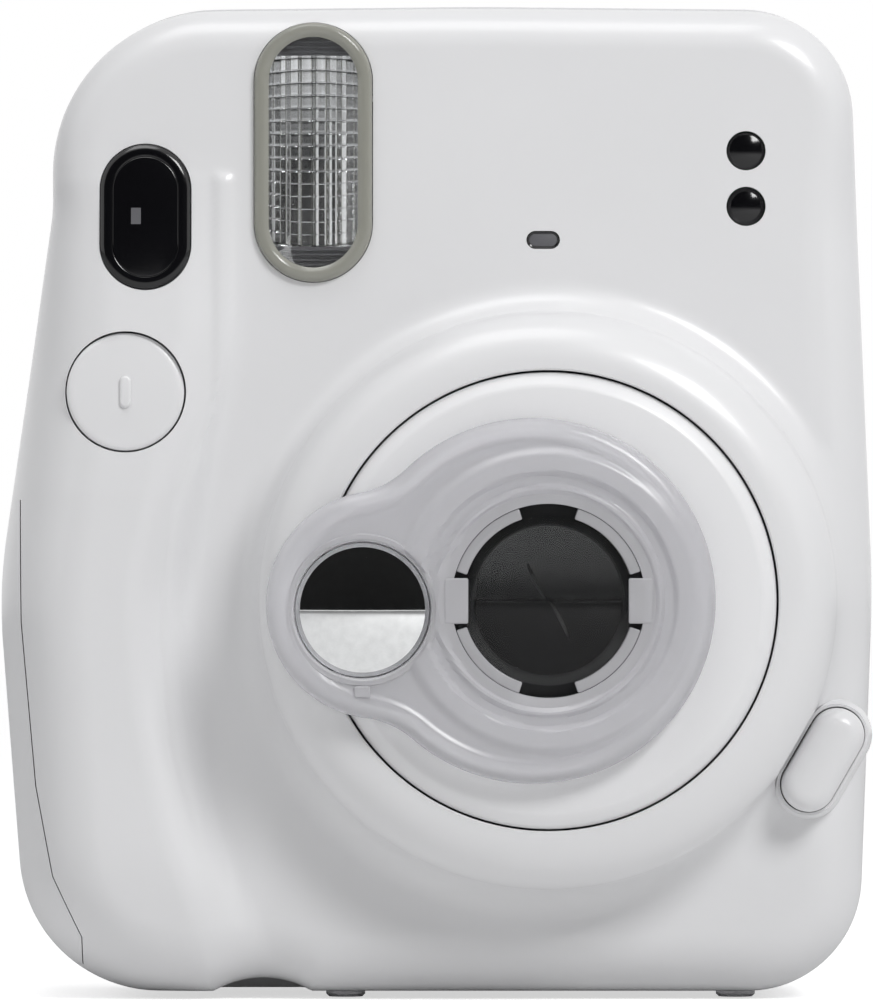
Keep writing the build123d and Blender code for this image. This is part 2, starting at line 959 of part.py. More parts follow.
clip -= along_y(disc(mirror_x, mirror_z, mirror_radius + 0.05), y_front - 1, y_front + 3.0)
save("closeup_body", clip)

mirror = along_y(disc(mirror_x, mirror_z, mirror_radius), y_front + 1.0, y_front + 3.0)
mirror_ball = 45.0
mirror &= Pos(mirror_x, y_front + 0.3 + mirror_ball, mirror_z) * Sphere(mirror_ball)
save("closeup_mirror", mirror)

closeup_lens = along_y(disc(lens_x, lens_z, clip_bore - 0.02), y_clip_back - 1.2, y_clip_back)
lens_ball = 40.0
closeup_lens += (
    Pos(lens_x, y_clip_back - 2.3 + lens_ball, lens_z) * Sphere(lens_ball)
) & along_y(disc(lens_x, lens_z, clip_bore - 0.02), y_clip_back - 3.0, y_clip_back - 1.0)
save("closeup_lens", closeup_lens)


# Flash

y_flash = y_face - 1.2
flash_window = along_y(pill(flash_x, flash_z, flash_width, flash_height), y_flash, y_face - 0.0)
flash_window = fillet(front_edges(flash_window), 0.9)
flash_window += along_y(
    pill(flash_x, flash_z, flash_width - 1.2, flash_height - 1.2),
    y_face - 0.5,
    y_face + 3.0,
)
flash_window -= along_y(
    pill(flash_x, flash_z, flash_width - 4.0, flash_height - 4.0),
    y_face + 0.3,
    y_face + 4.0,
)
save("flash_window", flash_window)

y_reflector = y_face + 3.1
reflector_depth = 7.0
reflector = along_y(
    pill(flash_x, flash_z, flash_width - 2.4, flash_height - 2.4),
    y_reflector,
    y_reflector + reflector_depth,
)
trough = along_z(
    Pos(flash_x, y_reflector) * Ellipse(flash_width / 2 - 2.2, reflector_depth - 1.0),
    flash_z - flash_height / 2 + 2.6,
    flash_z + flash_height / 2 - 2.6,
)
save("flash_reflector", reflector - trough)
flash_tube = Pos(flash_x, y_reflector + 3.4, flash_z) * Cylinder(1.2, flash_height - 5.2)
save("flash_tube", flash_tube)


# Viewfinder

finder_front = along_y(pill(finder_x, finder_z, finder_width, finder_height), y_face - 1.9, y_face + 1.4)
finder_front &= along_x(
    polygon(
        (grip_y(finder_z - 10) - 0.05, finder_z - 10),
        (grip_y(finder_z + 10) - 0.05, finder_z + 10),
        (y_face + 6, finder_z + 10),
        (y_face + 6, finder_z - 10),
    ),
    -half_width,
    0,
)
save("viewfinder_window", finder_front)


def finder_box(shrink, y0, y1):
    half_w = finder_tube_width / 2 - shrink
    half_h = finder_tube_height / 2 - shrink
    return block(finder_x - half_w, finder_x + half_w, y0, y1, finder_z - half_h, finder_z + half_h)


finder_tube_wall = 1.0
y_tube = y_face + 1.4
viewfinder_tube = finder_box(0, y_tube, y_rear_wall) - finder_box(
    finder_tube_wall,
    y_tube - 1,
    y_rear_wall + 1,
)
save("viewfinder_tube", viewfinder_tube)
eyecup = block(
    finder_x - eyepiece_width / 2,
    finder_x + eyepiece_width / 2,
    y_rear_wall,
    y_rear_wall + 2.6,
    finder_z - eyepiece_height / 2,
    finder_z + eyepiece_height / 2,
)
eyecup = fillet(eyecup.edges().filter_by(Axis.Y), 3.0)
eyecup = fillet(rear_edges(eyecup), 0.8)
save("viewfinder_eyecup", eyecup - finder_box(finder_tube_wall, y_rear_wall - 1, y_rear_wall + 4))
save("viewfinder_eyepiece", finder_box(finder_tube_wall + 0.02, y_rear_wall - 1.2, y_rear_wall + 0.8))


# Sensors, indicator and the board behind them

y_board = y_face + wall + 1.6
board_thickness = 1.2
board = block(-6.0, 45.0, y_board, y_board + board_thickness, indicator_z - 5.0, sensor_z + 9.0)
save("circuit_board", board)
for lens, name in enumerate(("light_sensor_lens", "flash_sensor_lens")):
    z = sensor_z - lens * sensor_pitch
    sensor = along_y(disc(sensor_x, z, sensor_radius - 0.02), y_face - 0.1 + 0.4 * lens, y_board)
    sensor += along_y(disc(sensor_x, z, sensor_radius + 0.8), y_face + wall, y_board)
    save(name, sensor)
indicator = along_y(
    pill(indicator_x, indicator_z, indicator_height - 0.04, indicator_width - 0.04, 90), y_face + 0.1, y_board
)
save("indicator_window", indicator)
capacitor_radius = 6.5
capacitor_length = 36.0
capacitor_y = y_board + board_thickness + capacitor_radius
capacitor = Rot(0, 90, 0) * Cylinder(capacitor_radius, capacitor_length)
save("flash_capacitor", Pos(lens_x, capacitor_y, indicator_z + 3.0) * capacitor)


# Buttons

y_shutter = grip_y(shutter_z)
shutter_button = along_y(disc(shutter_x, shutter_z, shutter_radius), y_shutter - 2, y_shutter + 3.0)
shutter_button &= along_x(
    polygon(
        (grip_y(shutter_z - 10), shutter_z - 10),
        (grip_y(shutter_z + 10), shutter_z + 10),
        (y_shutter + 6, shutter_z + 10),
        (y_shutter + 6, shutter_z - 10),
    ),
    -half_width,
    0,
)
shutter_button += along_y(pill(shutter_x, shutter_z, 1.4, 3.9), y_shutter - 0.55, y_shutter + 1)
shutter_button += along_y(disc(shutter_x, shutter_z, 2.0), y_shutter + 2, y_shutter + 5.4)
save("shutter_button", shutter_button)

power_button = along_y(
    pill(power_x, power_z, power_width, power_length, power_angle - 90),
    y_power,
    y_power + 6.6,
)
power_button = fillet(front_edges(power_button), 2.0)
save("power_button", power_button)

spring_strip = 3.0
shutter_spring = block(
    shutter_x - spring_strip / 2,
    shutter_x + spring_strip / 2,
    y_shutter + 5.45,
    y_shutter + 5.8,
    shutter_z - 9.0,
    shutter_z + 3.0,
)
save("shutter_spring", shutter_spring)
power_spring = along_y(ring(power_x, power_z, 1.6, 1.0), y_power + 6.65, y_power + 8.0)
save("power_spring", power_spring)


# Batteries, their tray and contacts

tray_wall = 1.2
cell_round = cell_diameter / 2
tray_right = cells_x + cell_round + 0.3 + tray_wall
tray_left = cells_x - 4.0
tray_front = cells_y - cell_round - 0.3 - tray_wall
tray_rear = cells_y + cells_pitch + cell_round + 0.3 + tray_wall
contact_thickness = 0.4
tray_low = cells_bottom - contact_thickness - tray_wall - 0.3
tray_high = cells_bottom + cell_height + contact_thickness + tray_wall + 0.3
battery_tray = block(tray_left, tray_right, tray_front, tray_rear, tray_low, tray_high)
battery_tray -= block(
    tray_left - 1,
    tray_right - tray_wall,
    tray_front + tray_wall,
    tray_rear - tray_wall,
    tray_low + tray_wall,
    tray_high - tray_wall,
)
tray_rib = 2.0
for z in (tray_low + 6.0, tray_high - 8.0):
    battery_tray += block(tray_left, tray_right, tray_rear - 0.5, y_rear_wall - wall, z, z + tray_rib)
save("battery_tray", battery_tray)
cells = []
contacts = []
for index in range(2):
    y = cells_y + index * cells_pitch
    up = index == 0
    body = Pos(cells_x, y, cells_bottom + cell_height / 2) * Cylinder(cell_round, cell_height - 1.2)
    nub_z = cells_bottom + (cell_height - 0.3 if up else 0.3)
    nub = Pos(cells_x, y, nub_z) * Cylinder(2.7, 0.6)
    plain_z = cells_bottom + (0.3 if up else cell_height - 0.3)
    base = Pos(cells_x, y, plain_z) * Cylinder(5.0, 0.6)
    cells.append(body + nub + base)
    contacts.append(
        block(
            cells_x - 4,
            cells_x + 4,
            y - 5,
            y + 5,
            cells_bottom - contact_thickness,
            cells_bottom,
        )
    )
contacts.append(
    block(
        cells_x - 4,
        cells_x + 4,
        cells_y - 5,
        cells_y + cells_pitch + 5,
        cells_bottom + cell_height,
        cells_bottom + cell_height + contact_thickness,
    )
)
save("battery_cells", *cells)
save("battery_contacts", *contacts)


# Film counter

counter_wheel = along_y(
    disc(counter_x, counter_z, counter_radius),
    y_rear_wall - wall - 1.8,
    y_rear_wall - wall - 0.3,
)
counter_hole = along_y(disc(counter_x, counter_z, 1.25), y_rear_wall - 6, y_rear_wall)
save("counter_wheel", counter_wheel - counter_hole)
counter_post = along_y(disc(counter_x, counter_z, 1.2), y_rear_wall - wall - 2.2, y_rear_wall - wall)
save("counter_post", counter_post)
counter_window = along_y(
    pill(counter_x, counter_z + 4.0, 3.9, 5.9, 90),
    y_rear_wall - 1.2,
    y_rear_wall - 0.1,
)
save("counter_window", counter_window)


# Feet and screws

foot_radius = 2.4
feet = []
for x in (-11.1, 36.8):
    for y in (y_face + 9.0, y_rear_wall - 8.0):
        foot = Pos(x, y, y_floor / 2) * Cylinder(foot_radius, y_floor)
        feet.append(chamfer(foot.faces().sort_by(Axis.Z)[0].edges(), 0.35))
save("feet", *feet)
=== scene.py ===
import math
import bmesh
import bpy
import numpy as np
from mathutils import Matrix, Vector


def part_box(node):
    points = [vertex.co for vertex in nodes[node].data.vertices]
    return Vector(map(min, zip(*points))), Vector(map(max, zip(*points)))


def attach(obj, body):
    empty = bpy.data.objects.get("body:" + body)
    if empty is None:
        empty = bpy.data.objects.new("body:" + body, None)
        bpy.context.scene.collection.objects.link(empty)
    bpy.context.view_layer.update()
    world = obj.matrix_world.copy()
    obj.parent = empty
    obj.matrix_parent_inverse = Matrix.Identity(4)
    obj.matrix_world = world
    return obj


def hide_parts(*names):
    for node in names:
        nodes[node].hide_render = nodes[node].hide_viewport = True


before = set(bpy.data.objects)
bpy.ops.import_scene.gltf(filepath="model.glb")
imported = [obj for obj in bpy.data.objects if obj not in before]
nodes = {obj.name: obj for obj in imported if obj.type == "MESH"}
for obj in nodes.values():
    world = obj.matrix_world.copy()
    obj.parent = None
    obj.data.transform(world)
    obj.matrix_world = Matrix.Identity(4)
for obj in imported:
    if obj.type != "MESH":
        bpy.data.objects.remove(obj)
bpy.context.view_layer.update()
scene = bpy.context.scene
mm = 0.001

# Places read from the frame, in millimetres


def nodeBox(node):
    low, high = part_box(node)
    return [v / mm for v in low], [v / mm for v in high]


def middle(node):
    low, high = nodeBox(node)
    return [(a + b) / 2 for a, b in zip(low, high)]


ringLow, ringHigh = nodeBox("front_ring")
lensX, _, lensZ = middle("front_ring")
ringFaceY = ringLow[1]
shellLow, shellHigh = nodeBox("front_shell")
clipLow, clipHigh = nodeBox("closeup_body")
splitY = shellHigh[1]
flashX, _, flashZ = middle("flash_window")
finderX, _, finderZ = middle("viewfinder_window")
shutterX, _, shutterZ = middle("shutter_button")
powerX, _, powerZ = middle("power_button")

casing = {
    "faceY": -17.0, "moundY": ringFaceY + 0.4, "moundRadius": 35.2, "moundRound": 6.6, "moundFoot": 39.2,
    "bore": 27.95, "gripHeight": 4.5, "gripTop": 104.0, "gripFull": 62.0, "wall": 2.0, "topStep": 0.9,
    "edgeRound": 7.5, "gripRound": 11.0, "topRound": 5.0, "notchX": -21.3, "notchRise": 1.6,
}


# Shared tools

def newObject(name, verts, faces, body, material, smooth=35.0):
    mesh = bpy.data.meshes.new(name)
    mesh.from_pydata([tuple(v) for v in verts], [], [tuple(f) for f in faces])
    mesh.validate()
    obj = bpy.data.objects.new(name, mesh)
    scene.collection.objects.link(obj)
    return dress(obj, body, material, smooth)


def dress(obj, body, material, smooth=35.0):
    if material is not None:
        obj.data.materials.clear()
        obj.data.materials.append(material)
    bpy.ops.object.select_all(action="DESELECT")
    bpy.context.view_layer.objects.active = obj
    obj.select_set(True)
    bpy.ops.object.mode_set(mode="EDIT")
    bpy.ops.mesh.select_all(action="SELECT")
    bpy.ops.mesh.normals_make_consistent(inside=False)
    bpy.ops.object.mode_set(mode="OBJECT")
    bpy.ops.object.shade_smooth_by_angle(angle=math.radians(smooth))
    if body:
        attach(obj, body)
    return obj


# Boolean with the exact solver, applied at once.
def cut(obj, tool, operation="DIFFERENCE", keep=False):
    modifier = obj.modifiers.new("cut", "BOOLEAN")
    modifier.operation = operation
    modifier.solver = "EXACT"
    modifier.object = tool
    bpy.ops.object.select_all(action="DESELECT")
    bpy.context.view_layer.objects.active = obj
    obj.select_set(True)
    bpy.ops.object.modifier_apply(modifier=modifier.name)
    if not keep:
        bpy.data.objects.remove(tool)


def bevelEdges(obj, width, segments=3, angle=35.0):
    modifier = obj.modifiers.new("bevel", "BEVEL")
    modifier.width = width * mm
    modifier.segments = segments
    modifier.limit_method = "ANGLE"
    modifier.angle_limit = math.radians(angle)
    modifier.harden_normals = False
    bpy.ops.object.select_all(action="DESELECT")
    bpy.context.view_layer.objects.active = obj
    obj.select_set(True)
    bpy.ops.object.modifier_apply(modifier=modifier.name)
    bpy.ops.object.shade_smooth_by_angle(angle=math.radians(angle))


def circleLoop(x, z, radius, count=96):
    turns = [2 * math.pi * i / count for i in range(count)]
    return [(x + radius * math.cos(t), z + radius * math.sin(t)) for t in turns]


# A slot outline whose long side is upright before it is turned (degrees).
def pillLoop(x, z, width, height, turn=0.0, count=32):
    radius = width / 2
    reach = height / 2 - radius
    points = []
    for end in (1, -1):
        for i in range(count + 1):
            angle = math.pi * i / count + (0 if end == 1 else math.pi)
            points.append((radius * math.cos(angle), end * reach + radius * math.sin(angle)))
    lean = math.radians(turn)
    return [
        (x + px * math.cos(lean) - pz * math.sin(lean), z + px * math.sin(lean) + pz * math.cos(lean))
        for px, pz in points
    ]


# A closed prism along Y from a loop of X, Z points in millimetres; not yet dressed.
def prism(name, loop, y0, y1):
    count = len(loop)
    verts = [(x * mm, y0 * mm, z * mm) for x, z in loop] + [(x * mm, y1 * mm, z * mm) for x, z in loop]
    faces = [tuple(range(count)), tuple(range(2 * count - 1, count - 1, -1))]
    for i in range(count):
        j = (i + 1) % count
        faces.append((i, i + count, j + count, j))
    mesh = bpy.data.meshes.new(name)
    mesh.from_pydata(verts, [], faces)
    obj = bpy.data.objects.new(name, mesh)
    scene.collection.objects.link(obj)
    bpy.ops.object.select_all(action="DESELECT")
    bpy.context.view_layer.objects.active = obj
    obj.select_set(True)
    bpy.ops.object.mode_set(mode="EDIT")
    bpy.ops.mesh.select_all(action="SELECT")
    bpy.ops.mesh.normals_make_consistent(inside=False)
    bpy.ops.object.mode_set(mode="OBJECT")
    return obj


# Spins a list of (radius, y) points round a Y axis through x, z.
def lathe(name, profile, x, z, body, material, steps=128, closed=True, smooth=35.0):
    verts = []
    faces = []
    rows = len(profile)
    for k in range(steps):
        angle = 2 * math.pi * k / steps
        for radius, y in profile:
            verts.append(((x + radius * math.cos(angle)) * mm, y * mm, (z + radius * math.sin(angle)) * mm))
    spans = rows if closed else rows - 1
    for k in range(steps):
        after = (k + 1) % steps
        for r in range(spans):
            s = (r + 1) % rows
            faces.append((k * rows + r, after * rows + r, after * rows + s, k * rows + s))
    obj = newObject(name, verts, faces, None, material)
    bm = bmesh.new()
    bm.from_mesh(obj.data)
    bmesh.ops.remove_doubles(bm, verts=bm.verts, dist=1e-7)
    bm.to_mesh(obj.data)
    bm.free()
    return dress(obj, body, material, smooth)


# Carries a closed (inset, y) profile round a closed X, Z loop.
def sweptLoop(name, loop, profile, body, material, smooth=35.0):
    points = np.array(loop)
    ahead = np.roll(points, -1, axis=0) - np.roll(points, 1, axis=0)
    ahead /= np.linalg.norm(ahead, axis=1)[:, None]
    inward = np.stack([-ahead[:, 1], ahead[:, 0]], axis=1)
    rows = len(profile)
    verts = []
    for point, normal in zip(points, inward):
        for inset, y in profile:
            verts.append(((point[0] + inset * normal[0]) * mm, y * mm, (point[1] + inset * normal[1]) * mm))
    faces = []
    count = len(points)
    for k in range(count):
        after = (k + 1) % count
        for r in range(rows):
            s = (r + 1) % rows
            faces.append((k * rows + r, after * rows + r, after * rows + s, k * rows + s))
    return newObject(name, verts, faces, body, material, smooth)


# Materials: each reads Object coordinates, in metres

def base(name):
    material = bpy.data.materials.new(name)
    material.use_nodes = True
    tree = material.node_tree
    shader = tree.nodes["Principled BSDF"]
    coords = tree.nodes.new("ShaderNodeTexCoord")
    return material, tree, shader, coords


def noise(tree, coords, scale, detail=3.0, rough=0.5):
    node = tree.nodes.new("ShaderNodeTexNoise")
    node.inputs["Scale"].default_value = scale
    node.inputs["Detail"].default_value = detail
    node.inputs["Roughness"].default_value = rough
    tree.links.new(coords.outputs["Object"], node.inputs["Vector"])
    return node


def ramp(tree, source, stops):
    node = tree.nodes.new("ShaderNodeValToRGB")
    tree.links.new(source, node.inputs["Fac"])
    while len(node.color_ramp.elements) < len(stops):
        node.color_ramp.elements.new(0.5)
    for element, (place, color) in zip(node.color_ramp.elements, stops):
        element.position = place
        element.color = (*color, 1.0) if len(color) == 3 else color
    return node


def span(tree, source, low, high):
    node = tree.nodes.new("ShaderNodeMapRange")
    tree.links.new(source, node.inputs["Value"])
    node.inputs["To Min"].default_value = low
    node.inputs["To Max"].default_value = high
    return node.outputs["Result"]


def bump(tree, shader, source, strength, distance):
    node = tree.nodes.new("ShaderNodeBump")
    node.inputs["Strength"].default_value = strength
    node.inputs["Distance"].default_value = distance * mm
    tree.links.new(source, node.inputs["Height"])
    tree.links.new(node.outputs["Normal"], shader.inputs["Normal"])


# Moulded plastic: faint cloudiness in colour and gloss, and a fine spark-eroded grain.
def moulded(name, color, rough, grain=0.02, spread=0.02, coat=0.0, scale=2600.0):
    material, tree, shader, coords = base(name)
    cloud = noise(tree, coords, 45.0, 2.0)
    darker = tuple(c * (1 - spread) for c in color)
    lighter = tuple(min(1.0, c * (1 + spread)) for c in color)
    tint = ramp(tree, cloud.outputs["Fac"], ((0.35, darker), (0.65, lighter)))
    tree.links.new(tint.outputs["Color"], shader.inputs["Base Color"])
    fine = noise(tree, coords, scale, 2.0)
    tree.links.new(span(tree, fine.outputs["Fac"], rough - 0.05, rough + 0.05), shader.inputs["Roughness"])
    bump(tree, shader, fine.outputs["Fac"], 0.25, grain)
    shader.inputs["Coat Weight"].default_value = coat
    shader.inputs["Coat Roughness"].default_value = 0.12
    return material


def clearPlastic(name, color, rough, weight, ior=1.49, grain=0.0, cloudScale=60.0):
    material, tree, shader, coords = base(name)
    cloud = noise(tree, coords, cloudScale, 3.0)
    tint = ramp(tree, cloud.outputs["Fac"], ((0.3, tuple(c * 0.96 for c in color)), (0.7, color)))
    tree.links.new(tint.outputs["Color"], shader.inputs["Base Color"])
    fine = noise(tree, coords, 1800.0, 2.0)
    low = max(0.0, rough - 0.04)
    tree.links.new(span(tree, fine.outputs["Fac"], low, rough + 0.04), shader.inputs["Roughness"])
    shader.inputs["Transmission Weight"].default_value = weight
    shader.inputs["IOR"].default_value = ior
    if grain:
        bump(tree, shader, fine.outputs["Fac"], 0.3, grain)
    return material


# Metal with a directional brush made by stretching its noise.
def metal(name, color, rough, brush=(1.0, 1.0, 1.0), grain=0.004):
    material, tree, shader, coords = base(name)
    mapping = tree.nodes.new("ShaderNodeMapping")
    mapping.inputs["Scale"].default_value = brush
    tree.links.new(coords.outputs["Object"], mapping.inputs["Vector"])
    fine = noise(tree, coords, 900.0, 3.0)
    tree.links.new(mapping.outputs["Vector"], fine.inputs["Vector"])
    tint = ramp(tree, fine.outputs["Fac"], ((0.3, tuple(c * 0.9 for c in color)), (0.7, color)))
    tree.links.new(tint.outputs["Color"], shader.inputs["Base Color"])
    tree.links.new(span(tree, fine.outputs["Fac"], rough * 0.7, rough * 1.3), shader.inputs["Roughness"])
    bump(tree, shader, fine.outputs["Fac"], 0.2, grain)
    shader.inputs["Metallic"].default_value = 1.0
    return material


casingPlastic = moulded("casingPlastic", (0.82, 0.82, 0.83), 0.32, 0.012, 0.008, 0.25)
ringPlastic = moulded("ringPlastic", (0.86, 0.86, 0.87), 0.36, 0.010, 0.008, 0.15)
frostedPlastic = clearPlastic("frostedPlastic", (0.90, 0.895, 0.925), 0.24, 0.55, 1.46, 0.0)
clearGlass = clearPlastic("clearGlass", (0.97, 0.98, 0.98), 0.04, 1.0, 1.35)
smokeRim = clearPlastic("smokeRim", (0.60, 0.60, 0.53), 0.10, 0.5, 1.45, 0.0)
blackGloss = moulded("blackGloss", (0.004, 0.004, 0.005), 0.14, 0.002, 0.1, 0.2)
blackMatt = moulded("blackMatt", (0.006, 0.006, 0.007), 0.55, 0.02, 0.15)
greyMatt = moulded("greyMatt", (0.12, 0.12, 0.13), 0.5, 0.03, 0.1)
mirrorMetal = metal("mirrorMetal", (0.93, 0.94, 0.94), 0.03, (1, 1, 1), 0.0)
reflectorMetal = metal("reflectorMetal", (0.93, 0.93, 0.94), 0.16, (6.0, 1.0, 0.2), 0.01)
steelPlated = metal("steelPlated", (0.62, 0.62, 0.63), 0.3, (1.0, 1.0, 8.0))
rollerRubber = moulded("rollerRubber", (0.03, 0.03, 0.032), 0.7, 0.05, 0.2)
counterWhite = moulded("counterWhite", (0.8, 0.8, 0.78), 0.5, 0.02)
cellSkin = metal("cellSkin", (0.50, 0.47, 0.40), 0.32, (1.0, 1.0, 1.0))


def boardLaminate():
    material, tree, shader, coords = base("boardLaminate")
    tracks = tree.nodes.new("ShaderNodeTexVoronoi")
    tracks.distance = "MANHATTAN"
    tracks.inputs["Scale"].default_value = 420.0
    tree.links.new(coords.outputs["Object"], tracks.inputs["Vector"])
    tint = ramp(tree, tracks.outputs["Distance"], ((0.45, (0.02, 0.16, 0.07)), (0.55, (0.05, 0.28, 0.12))))
    tree.links.new(tint.outputs["Color"], shader.inputs["Base Color"])
    shader.inputs["Roughness"].default_value = 0.35
    bump(tree, shader, tracks.outputs["Distance"], 0.3, 0.05)
    return material


board = boardLaminate()
print("materials made")


# Casing outline, as corner points with a radius at each

# Straight sides joined by tangent arcs, as points about a step apart.
def roundedLoop(corners, step=1.2):
    points = []
    count = len(corners)
    for i, (x, z, radius) in enumerate(corners):
        here = np.array((x, z))
        before = np.array(corners[i - 1][:2]) - here
        after = np.array(corners[(i + 1) % count][:2]) - here
        before /= np.linalg.norm(before)
        after /= np.linalg.norm(after)
        half = math.acos(np.clip(before @ after, -1, 1)) / 2
        reach = radius / math.tan(half)
        bisector = (before + after) / np.linalg.norm(before + after)
        center = here + bisector * radius / math.sin(half)
        start = here + before * reach - center
        turn = math.pi - 2 * half
        side = np.sign(start[0] * (after[1]) - start[1] * (after[0]))
        pieces = max(2, int(radius * turn / step))
        for k in range(pieces + 1):
            angle = side * turn * k / pieces
            rotated = (
                start[0] * math.cos(angle) - start[1] * math.sin(angle),
                start[0] * math.sin(angle) + start[1] * math.cos(angle),
            )
            points.append((center[0] + rotated[0], center[1] + rotated[1]))
    filled = []
    for a, b in zip(points, points[1:] + points[:1]):
        length = math.dist(a, b)
        pieces = max(1, int(length / step))
        for k in range(pieces):
            share = k / pieces
            filled.append((a[0] + (b[0] - a[0]) * share, a[1] + (b[1] - a[1]) * share))
    return np.array(filled)


outline = {"width": 106.6, "height": 122.1, "notchRadius": 12.0}
halfWidth = outline["width"] / 2
floorZ = shellLow[2]


def casingOutline(topDrop, notched=True):
    top = outline["height"] - topDrop
    corners = (
        (-halfWidth + 6.4, top - 0.5, 20),
        (-halfWidth + 6.4, 0.79 * outline["height"], 20),
        (-halfWidth - 0.4, 0.41 * outline["height"], 60),
        (-halfWidth + 3.4, floorZ, 17),
        (halfWidth - 1.4, floorZ, 14),
        (halfWidth + 0.4, 0.41 * outline["height"], 150),
        (halfWidth - 2.6, top - 0.4, 13),
        (5, top + 0.05, 300),
    )
    loop = roundedLoop(corners, 0.5)
    loop[:, 0] -= (loop[:, 0].min() + loop[:, 0].max()) / 2
    if notched:
        across = loop[:, 0] - casing["notchX"]
        radius = outline["notchRadius"]
        arch = floorZ + casing["notchRise"] - radius + np.sqrt(np.maximum(0, radius ** 2 - across ** 2))
        loop[:, 1] = np.where(loop[:, 1] < floorZ + 4, np.maximum(loop[:, 1], arch), loop[:, 1])
    return loop


# How far a ray from the centre goes before it meets the loop.
def reachAlong(loop, angles, centerX, centerZ):
    around = np.arctan2(loop[:, 1] - centerZ, loop[:, 0] - centerX)
    reach = np.hypot(loop[:, 0] - centerX, loop[:, 1] - centerZ)
    order = np.argsort(around)
    around, reach = around[order], reach[order]
    around = np.concatenate((around - 2 * math.pi, around, around + 2 * math.pi))
    reach = np.concatenate((reach, reach, reach))
    turned = (angles + math.pi) % (2 * math.pi) - math.pi
    return np.interp(turned, around, reach)


# Distance from each point to a closed loop of short straight pieces.
def distanceTo(loop, x, z):
    best = np.full(x.shape, 1e9)
    for (ax, az), (bx, bz) in zip(loop, np.roll(loop, -1, axis=0)):
        ex, ez = bx - ax, bz - az
        size = ex * ex + ez * ez
        if size < 1e-12:
            continue
        share = np.clip(((x - ax) * ex + (z - az) * ez) / size, 0, 1)
        best = np.minimum(best, (x - ax - share * ex) ** 2 + (z - az - share * ez) ** 2)
    return np.sqrt(best)


def smooth(value):
    value = np.clip(value, 0, 1)
    return value * value * (3 - 2 * value)


# A smoothed reading of a curve of (z, x) points, highest first.
def follow(curve, z):
    heights = np.array([p[0] for p in curve][::-1], float)
    places = np.array([p[1] for p in curve][::-1], float)
    total = np.zeros_like(z)
    offsets = range(-4, 5)
    for offset in offsets:
        total += np.interp(z + offset * 0.9, heights, places)
    return total / len(offsets)


# The shallow ribbon that bounds the grip: its left and right edges, as (z, x)
grooveLeft = ((104, -27.0), (73, -26.9), (61, -31.6), (46, -33.5), (30, -32.0), (12, -27.0), (0, -23.0))
grooveRight = ((104, -24.9), (80, -24.9), (64, -28.6), (50, -31.4), (36, -30.6), (20, -27.4), (0, -19.8))


# The casing's front surface away from the lens mound.
def bodyY(loop, x, z):
    away = distanceTo(loop, x, z)
    share = np.clip((casing["gripTop"] - z) / (casing["gripTop"] - casing["gripFull"]), 0, 1)
    height = casing["gripHeight"] * (share * 0.6 + 0.4 * smooth(share)) * smooth((z + 6) / 26)
    lip = 0.55 * smooth((101.5 - z) / 1.5) * smooth(z / 26)
    left = follow(grooveLeft, z)
    right = follow(grooveRight, z)
    crisp = 0.9 + 2.2 * smooth((34 - z) / 26)
    soft = 1.5 + 2.6 * smooth((34 - z) / 26)
    first = smooth((right + soft / 2 - x) / soft)
    second = smooth((left + crisp / 2 - x) / crisp)
    swell = smooth((right + 2.5 - x) / 9.5)
    raised = height * swell + lip * first * (1 - 0.8 * second)
    inGrip = smooth((-28 - x) / 16) * smooth((104 - z) / 30)
    edgeRound = casing["edgeRound"] + (casing["gripRound"] - casing["edgeRound"]) * inGrip
    topShare = smooth((z - 92) / 18)
    edgeRound = edgeRound + (casing["topRound"] - edgeRound) * topShare
    near = np.clip(1 - away / edgeRound, 0, 1)
    drop = (edgeRound + raised * inGrip) * (1 - np.sqrt(np.maximum(0, 1 - near * near)))
    across = (x - casing["notchX"]) / 4.5
    valley = 1.0 * np.exp(-(across ** 2)) * smooth((16 - z) / 16)
    return casing["faceY"] - raised + drop + valley


# Rows of points, each a ring round the lens axis, joined into one closed solid.
def closedGrid(name, rows, material):
    count = len(rows[0])
    verts = np.concatenate(rows) * mm
    faces = []
    total = len(rows)
    for r in range(total):
        s = (r + 1) % total
        for k in range(count):
            after = (k + 1) % count
            faces.append((r * count + k, r * count + after, s * count + after, s * count + k))
    mesh = bpy.data.meshes.new(name)
    mesh.from_pydata(verts.tolist(), [], faces)
    obj = bpy.data.objects.new(name, mesh)
    scene.collection.objects.link(obj)
    return dress(obj, None, material)


dense = 430
sparse = 230
ringsOut = 84
angles = np.concatenate((
    np.radians(np.linspace(98, 262, dense, endpoint=False)),
    np.radians(np.linspace(262, 458, sparse, endpoint=False)),
))
notchedLoop = casingOutline(casing["topStep"])
plainLoop = casingOutline(casing["topStep"], False)
reachNotched = reachAlong(notchedLoop, angles, lensX, lensZ)
reachPlain = reachAlong(plainLoop, angles, lensX, lensZ)


def ringAt(radius, y):
    radius = np.broadcast_to(radius, angles.shape)
    y = np.broadcast_to(y, angles.shape)
    return np.stack((lensX + radius * np.cos(angles), y, lensZ + radius * np.sin(angles)), axis=1)


def surfaceRing(radius, lift=0.0):
    radius = np.broadcast_to(radius, angles.shape)
    x = lensX + radius * np.cos(angles)
    z = lensZ + radius * np.sin(angles)
    return ringAt(radius, bodyY(notchedLoop, x, z) - lift)


